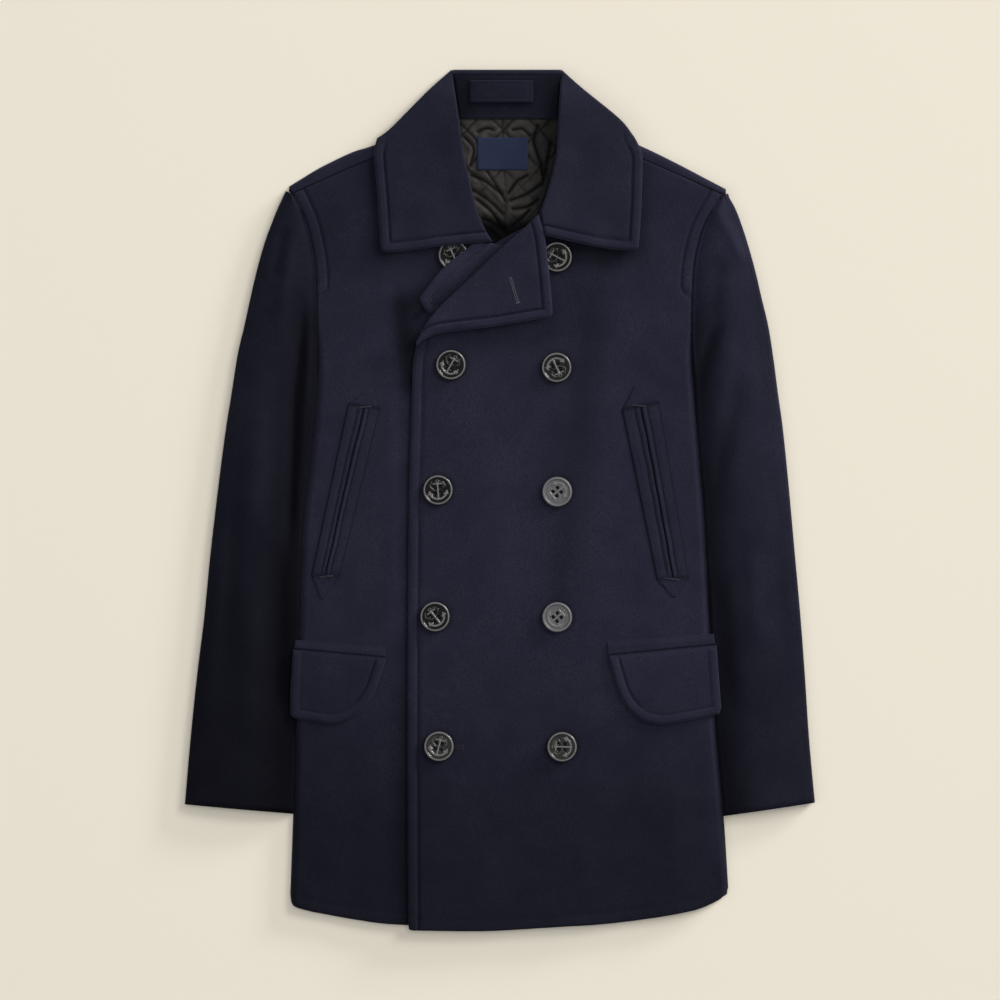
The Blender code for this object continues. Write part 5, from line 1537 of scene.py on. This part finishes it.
# %% [markdown]
# ## Edge stitching
# The welts are held by one row of navy thread, a stitch every three and a half millimetres, sunk in its
# own trench. Seen from a step away it only breaks the light along the trench, but it has to be there
# when the coat is seen close up. Each stitch could be an object of its own, but hundreds of them are one
# mesh made from an array, which is quicker to draw and to move.

# %% Thread
def thread_finish(name, colour):
    made, shader, add, tree = finish_of(name, colour, 0.75, Specular_IOR_Level=0.2)
    space = add("ShaderNodeTexCoord").outputs["Object"]
    ply = add("ShaderNodeTexWave", {"Vector": space}, wave_type="BANDS", bands_direction="DIAGONAL",
              Scale=1400.0).outputs["Fac"]
    bumped(add, shader, tree, ((ply, 0.5, 0.0001),))
    return made


navy_thread = thread_finish("navy_thread", (0.009, 0.0095, 0.017))
grey_thread = thread_finish("grey_thread", (0.105, 0.108, 0.125))
slate_thread = thread_finish("slate_thread", (0.030, 0.031, 0.042))
# Paler than the navy: a painted highlight where the long pocket bars lie
bar_thread = thread_finish("bar_thread", (0.058, 0.060, 0.074))


print("threads:", navy_thread.name, grey_thread.name, slate_thread.name, bar_thread.name)

# %% Lines beside an edge
def offset(line, distance, pitch=2.0):
    """A line moved sideways: a positive distance moves it to the left of its direction."""
    line = spread(line, even(lengths_along(line)[-1], pitch))
    along = np.gradient(line, axis=0)
    along /= np.linalg.norm(along, axis=1)[:, None]
    return line + distance * np.stack([-along[:, 1], along[:, 0]], axis=1)


def inset_line(line, distance, inside, boundary=None):
    """The part of a moved line that keeps its distance from the whole boundary, inside a piece."""
    moved = offset(line, distance if inside == "left" else -distance)
    d, _ = gap_to(moved[:, 0], moved[:, 1], line if boundary is None else boundary)
    return moved[d > abs(distance) - 0.15][4:-4]


print("a line moved 9 mm in:", inset_line(OVER_EDGE, 9.0, "right").shape[0], "points")

# %% Stitches
# A stitch: a low bar with bevelled ends, along X, as points and faces
BAR = np.array([(-1, -0.6, 0), (1, -0.6, 0), (1, 0.6, 0), (-1, 0.6, 0),
                (-0.72, -0.3, 1), (0.72, -0.3, 1), (0.72, 0.3, 1), (-0.72, 0.3, 1)])
BAR_FACES = ((3, 2, 1, 0), (4, 5, 6, 7), (0, 1, 5, 4), (1, 2, 6, 5), (2, 3, 7, 6), (3, 0, 4, 7))


STITCH_PITCH = 3.5
# Length, width and height of each kind of stitch
EDGE_STITCH = (2.5, 0.5, 0.16)
LAPEL_PURL, LAPEL_BAR = (1.15, 0.72, 0.38), (4.6, 0.8, 0.5)
HOLE_PURL, HOLE_BAR = (1.1, 0.6, 0.3), (6.0, 0.6, 0.42)
POCKET_BAR, CATCH_STITCH = (13.0, 0.55, 0.4), (3.0, 0.5, 0.2)
BUTTON_CROSS = (2 * HOLE_OFFSET, 0.7, 0.35)


def bars(places, length, width, high):
    """Points of many stitches at once. places: x, y, z and direction in radians."""
    places = np.asarray(places, float)
    size = BAR * (length / 2.0, width / 2.0, high)
    c, s = np.cos(places[:, 3])[:, None], np.sin(places[:, 3])[:, None]
    x = places[:, 0][:, None] + size[:, 0] * c - size[:, 1] * s
    y = places[:, 1][:, None] + size[:, 0] * s + size[:, 1] * c
    z = places[:, 2][:, None] + size[:, 2] + 0 * x
    return np.stack([x, y, z], axis=-1).reshape(-1, 3)


def sewn(name, finish, *rows):
    """One piece of stitches, from rows of places, length, width and height."""
    points = np.concatenate([bars(*row) for row in rows])
    faces = [tuple(8 * k + v for v in face) for k in range(len(points) // 8) for face in BAR_FACES]
    made = new_object(name, points, faces, finish, smooth_faces=False)
    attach(made, "root")
    return made


def height_at(height, x, y):
    return float(height(np.array(x), np.array(y)))


def stitch_places(line, height, pitch=STITCH_PITCH, sunk=0.0):
    run = lengths_along(line)
    if run[-1] < pitch:
        return np.zeros((0, 4))
    at = (np.arange(int(run[-1] / pitch)) + 0.5) * pitch
    x, y = (np.interp(at, run, line[:, k]) for k in (0, 1))
    ahead = [np.interp(at + 0.5, run, line[:, k]) - np.interp(at - 0.5, run, line[:, k]) for k in (0, 1)]
    return np.stack([x, y, height(x, y) - sunk, np.arctan2(ahead[1], ahead[0])], axis=1)


print("stitches in 100 mm:", int(100.0 / STITCH_PITCH))

# %% Every row of edge stitching
def wing_height(seat_of, wing):
    return lambda x, y: wing_top(x, y, seat_of(x, y), wing["roll"])


def lapel_height(x, y):
    return over_lapel_low(x, y) + LAPEL_THICK + over_lapel_shape(x, y)


def flap_height(front_height_of):
    return lambda x, y: flap_body(x, y, front_height_of)


right_collar_edge = joined(RIGHT_WING["outer"][::-1], RIGHT_WING["bottom"])
left_collar_edge = joined(LEFT_WING["outer"][::-1], LEFT_WING["bottom"])
lapel_edge = joined(OVER_LAPEL["bottom"], OVER_LAPEL["outer"])
right_flap_edge = joined(RIGHT_FLAP["outer"][::-1], RIGHT_FLAP["bottom"], RIGHT_FLAP["inner"])
left_flap_edge = joined(LEFT_FLAP["inner"][::-1], LEFT_FLAP["bottom"], LEFT_FLAP["outer"])
STITCH_ROWS = (
    # line, inset, side, height, sunk
    (OVER_EDGE, EDGE_WELT["inset"], "right", over_front, EDGE_DEPTH),
    (right_collar_edge, WING_WELT["inset"], "left", wing_height(under_wing_seat, RIGHT_WING), COLLAR_DEPTH),
    (left_collar_edge, WING_WELT["inset"], "right", wing_height(over_wing_seat, LEFT_WING), COLLAR_DEPTH),
    (lapel_edge, LAPEL_WELT["inset"], "left", lapel_height, COLLAR_DEPTH),
    (right_flap_edge, FLAP_INSET, "left", flap_height(under_front), FLAP_DEPTH),
    (left_flap_edge, FLAP_INSET, "left", flap_height(over_front), FLAP_DEPTH),
    (armhole_line(False), ARMHOLE_WELT["inset"], "right", under_front, ARMHOLE_DEPTH),
    (armhole_line(True), ARMHOLE_WELT["inset"], "left", over_front, ARMHOLE_DEPTH),
    (UNDER_HEM, HEM_WELT["inset"], "left", under_front, HEM_DEPTH + 0.12),
    (OVER_HEM, HEM_WELT["inset"], "left", over_front, HEM_DEPTH + 0.12),
)
stitches = np.concatenate([stitch_places(inset_line(line, inset, side), height, sunk=sunk)
                           for line, inset, side, height, sunk in STITCH_ROWS])
edge_stitches = sewn("edge_stitches", navy_thread, (stitches, *EDGE_STITCH))
print("stitches along the edges:", len(stitches))

# %% [markdown]
# ## Buttonholes, bars and the thread of the buttons
# The lapel has one worked buttonhole: a slit closed by a row of short purl stitches on each side and a
# bar across its lower end, in a paler thread. Beside three buttons of the lapping edge the end of the
# hole they go through can be seen. Each pocket slit is barred at both ends, and each button is sewn on
# with a cross. All of it is the same small bar, turned and repeated, as a needle would lay it.

# %% Worked thread
def purl(start, end, half, height, pitch=0.8):
    """Short stitches across both lips of a hole from start to end, and a bar at its end."""
    a, b = np.array(start, float), np.array(end, float)
    run = np.linalg.norm(b - a)
    ahead = (b - a) / run
    side = np.array((-ahead[1], ahead[0]))
    angle = math.atan2(side[1], side[0])
    lips = [a + ahead * at + side * sign * half * (0.9 + 0.1 * math.sin(7.0 * at))
            for at in np.arange(0.0, run, pitch) for sign in (-1.0, 1.0)]
    bar = [a + ahead * (run + k) for k in (-0.35, 0.35)]
    return [[(x, y, height_at(height, x, y), angle) for x, y in places] for places in (lips, bar)]


lapel_purl, lapel_bar = purl((9.6, 211.0), (17.0, 187.0), 0.95, lambda x, y: lapel_height(x, y) - 0.1)
sewn("lapel_buttonhole", grey_thread, (lapel_purl, *LAPEL_PURL), (lapel_bar, *LAPEL_BAR))

dark_lips, dark_bars = [], []
for row, x, y, *_ in BUTTONS[2:]:
    start, end = (x + 12.0, y - 1.0), (x + 23.0, y - 1.4)
    lips, bar = purl(start, end, 1.5, lambda x, y: over_front(x, y) - 0.05, pitch=0.85)
    dark_lips += lips
    dark_bars += bar
sewn("buttonhole_ends", slate_thread, (dark_lips, *HOLE_PURL), (dark_bars, *HOLE_BAR))

# Each slit is barred at its ends with a long pale bar: a bar tack, and a painted highlight along the end of
# the welt panel
slit_bars = []
for x, y, height, angle in ((-128.6, 88.4, under_front, 0.10), (-164.9, -72.6, under_front, 0.10),
                            (132.6, 89.6, over_front, -0.10), (163.4, -75.0, over_front, -0.10)):
    slit_bars += [(x, y + k, height_at(height, x, y) + 1.35, angle) for k in (-0.4, 0.4)]
# The small catch stitch that holds the corner of the right lapel
corner_z = height_at(under_lapel_low, -66.0, 192.0) + UNDER_LAPEL_THICK
catch = [(-66.0, 190.4, corner_z, math.pi / 2), (-65.0, 188.9, corner_z, 0.0)]
sewn("pocket_bars", bar_thread, (slit_bars, *POCKET_BAR), (catch, *CATCH_STITCH))

crosses = [(x, y, seat + 2.75 + lift, turn + k * math.pi)
           for x, y, seat, turn in button_places for k, lift in ((0.25, 0.0), (0.75, 0.16))]
sewn("button_threads", navy_thread, (crosses, *BUTTON_CROSS))
print("purl stitches:", len(lapel_purl) + len(dark_lips), "bars:", len(slit_bars), "crosses:", len(crosses))

# %% [markdown]
# ## Light and shade painted on the cloth
# One dye, but the coat isn't one tone, because light and shade are painted into the cloth's colour. The
# front is at its full colour. The skirt and the sleeves are painted darker, a trough gets painted shade and
# a ridge painted light, and painted shadows lie beside the free edges of the collar and the lapel. A second
# and a third cloth finish could show this, but then the tone would jump at a seam. A number on each point
# carries it instead, and the cloth's colour and sheen are multiplied by it.

# %% Tones and strokes
# Painted shade, as a share of the front's colour: down the skirt, on the collar, on the stand and down each
# sleeve.
SKIRT_TONE, COLLAR_TONE, STAND_TONE = 0.57, 0.86, 0.60
SLEEVE_TONES = {"right": (0.56, 0.27), "left": (0.97, 0.63)}        # at the armpit and at the cuff
# Painted shade in the troughs and painted light on the ridges of the sleeves' folds
FOLD_TONE = 0.090           # change of tone for each millimetre of a fold's height
# Painted shadow, as the share of the tone that is lost: under an edge that lies over, beside the lapping
# edge, by the lifted edge, and round a button
SHADOW_UNDER_FREE_EDGES, UNDER_EDGE, LIFTED, BY_BUTTON = 0.28, 0.55, 0.66, 0.35
# One flap is painted lighter and the other darker
FLAP_TONES = {"pocket_flap_left": 1.10, "pocket_flap_right": 0.94}
# Left of the break of the lapel a shadow is painted on the right front, by the lifted edge that lies over it
LIFTED_LINE = ((-94, 186), (-91, 160), (-88, 135), (-85, 112))
# A painted shadow along the roll edge of the left lapel
BY_LAPEL = (((38, 268), (-20, 224), (-80, 174)), 3.6, -0.45)
FREE_EDGES = (RIGHT_WING["outer"], RIGHT_WING["bottom"], LEFT_WING["outer"], LEFT_WING["bottom"],
              OVER_LAPEL["bottom"], UNDER_LAPEL["outer"], UNDER_LAPEL["bottom"])
# Painted shade along the armhole seams, in place of the shadow in their gap
SEAM_PAINTED_SHADE = (1.1, -0.5)     # a seam's own line: width and change
RIGHT_SIDE_SEAM, LEFT_SIDE_SEAM = ((side_part(120.0, 290.0, wearers_left)[::6],) + SEAM_PAINTED_SHADE
                                   for wearers_left in (False, True))
# Painted shade (a minus change) and painted light (a plus change) on the cloth: line, width, change
STROKES = {
    "front_left": (
        (((98, 240), (90, 180), (84, 130), (67, 20), (58, -90)), 15.0, -0.20),
        (((46, 240), (70, 238), (110, 231)), 14.0, -0.46),
        (((66, 232), (72, 200), (78, 165)), 20.0, -0.22),
        (((-12, 151), (20, 151), (46, 157)), 9.0, -0.22),
        (((-14, 110), (0, 60), (6, -60)), 30.0, 0.10),
        (((130, 90), (150, -20), (160, -90)), 28.0, 0.09),
        (((190, 205), (191, 110), (197, 30), (203, -60), (207, -340)), 9.0, 0.30),
        LEFT_SIDE_SEAM,
    ),
    "front_right": (
        (((-106, 200), (-99, 100), (-97, 0), (-98, -130)), 7.0, 0.20),
        (((-100, -180), (-99, -280), (-98, -380)), 8.0, -0.14),
        (((-121, 322), (-118, 242)), 7.0, -0.26),
        (((-166, 285), (-166, 200)), 26.0, -0.10),
        RIGHT_SIDE_SEAM,
        BY_LAPEL,
    ),
    "sleeve_right": (RIGHT_SIDE_SEAM,),
    "sleeve_left": (LEFT_SIDE_SEAM,),
    "lapel_right": ((((-84, 184), (-28, 234), (6, 257)), 9.0, 0.28),),
    "lapel_left": ((((-60, 170), (0, 183), (46, 192)), 16.0, 0.13),),
    "collar_cloth": (BY_LAPEL, (((-112, 245), (-20, 250)), 14.0, 0.12)),
}


print("strokes on the nap:", sum(len(strokes) for strokes in STROKES.values()))

# %% Tone at a point
def loss(d, width, share):
    """What is left of the tone at a distance from a line where a share of it is lost."""
    return 1.0 - share * np.exp(-(d / width) ** 2)


def sleeve_tone(side, x, y):
    high, low = SLEEVE_TONES[side]
    # Painted shade: one sleeve darker than the other, darker from the armpit to the cuff, and darker beside
    # the body's side below the armpit
    tone = high + (low - high) * smooth(120.0, -220.0, y)
    from_seam = np.abs(x - side_x(y, side == "left"))
    tone *= 1.0 - 0.58 * (1.0 - smooth(4.0, 44.0, from_seam)) * smooth(245.0, 130.0, y)
    # Painted shade in a trough and painted light on a ridge
    for line, width, height in LEFT_SLEEVE_FOLDS if side == "left" else RIGHT_SLEEVE_FOLDS:
        tone *= 1.0 + FOLD_TONE * fold(x, y, line, width, height)
    return tone


def stand_tone(x, y):
    # Painted shade, darker towards both ends of the stand, and a painted shadow round the loop, offset down
    # and to the left
    by_loop = gap_to(x + 1.5, y + 2.0, around(LOOP_CORNERS))[0]
    return STAND_TONE * (1.0 - 0.4 * smooth(26.0, 48.0, np.abs(x - 6.6))) * loss(by_loop, 3.5, 0.35)


def body_tone(name, x, y):
    # Painted shade: darker down the skirt, towards the wearer's right low down, and in a patch below the
    # wearer's right shoulder
    body = 1.0 - (1.0 - SKIRT_TONE) * smooth(-120.0, -340.0, y)
    body = body - 0.12 * smooth(-20.0, -190.0, x) * smooth(0.0, -200.0, y)
    body -= 0.22 * smooth(-110.0, -170.0, x) * smooth(180.0, 260.0, y) * (1.0 - smooth(260.0, 340.0, y))
    # One flap is painted lighter and the other darker
    body *= FLAP_TONES.get(name[:name.rfind("_")], 1.0)
    # Painted shadow under the free edges of the collar and the lapel, and round each button
    if name.startswith("front"):
        for line in FREE_EDGES:
            body *= loss(gap_to(x, y, line)[0], 11.0, SHADOW_UNDER_FREE_EDGES)
        for at_x, at_y, *_ in button_places:
            from_button = np.maximum(np.hypot(x - at_x, y - at_y) - BUTTON_RADIUS, 0.0)
            body *= loss(from_button, 2.4, BY_BUTTON)
    # Painted shadow beside the lapping edge, and by the lifted edge at the break of the lapel
    if name.startswith("front_right"):
        shade = 2.8 + 3.2 * smooth(-60.0, -300.0, y)
        body *= loss(gap_to(x, y, OVER_EDGE)[0], shade, UNDER_EDGE)
        body *= loss(gap_to(x, y, curved(LIFTED_LINE, 5))[0], 13.0, LIFTED)
    return body


def painted_light_and_shade_at(name, x, y):
    """Painted light and shade: 1 is the full colour of the front, and less is deeper."""
    if name.startswith("sleeve"):
        return sleeve_tone("left" if "left" in name else "right", x, y)
    # The loop, the stand and the collar are painted darker than the front, the collar a little less towards
    # the wearer's left
    if name.startswith("hanger_loop"):
        return STAND_TONE + 0.12 + 0 * x
    if name.startswith("collar_stand"):
        return stand_tone(x, y)
    if name.startswith("collar"):
        return COLLAR_TONE + 0.06 * smooth(-40.0, 60.0, x)
    return body_tone(name, x, y)


print("tone in the middle of the skirt: %.2f" % painted_light_and_shade_at("front_left", np.array(20.0), np.array(-350.0)))

# %% Painting light and shade on every woollen piece
def paint_light_and_shade(piece):
    """Writes painted light and shade on each point of a piece, times the painted edge shade and highlight
    noted as pressed.
    """
    count = len(piece.data.vertices)
    places = np.empty(count * 3)
    piece.data.vertices.foreach_get("co", places)
    places = places.reshape(-1, 3) / MM
    tone = painted_light_and_shade_at(piece.name, places[:, 0], places[:, 1])
    for name, strokes in STROKES.items():
        for line, width, change in strokes if piece.name.startswith(name) else ():
            d = gap_to(places[:, 0], places[:, 1], curved(line, 6))[0]
            tone = tone * loss(d, width, -change)
    # The value noted as pressed is painted shade and highlight along edges, stitches and seams.
    if "pressed" in piece.data.attributes:
        pressed = np.empty(count, dtype=np.float32)
        piece.data.attributes["pressed"].data.foreach_get("value", pressed)
        tone = tone * pressed
    # The point value nap carries the painted light and shade.
    note(piece, "nap", np.clip(tone, 0.05, 1.3))


for piece in woollen:
    paint_light_and_shade(piece)
print("brushed:", len(woollen), "pieces")

# %% [markdown]
# ## The dressed pieces
# The number of pieces that were dressed is printed.

# %% The end
print("pieces dressed:", len(finished))
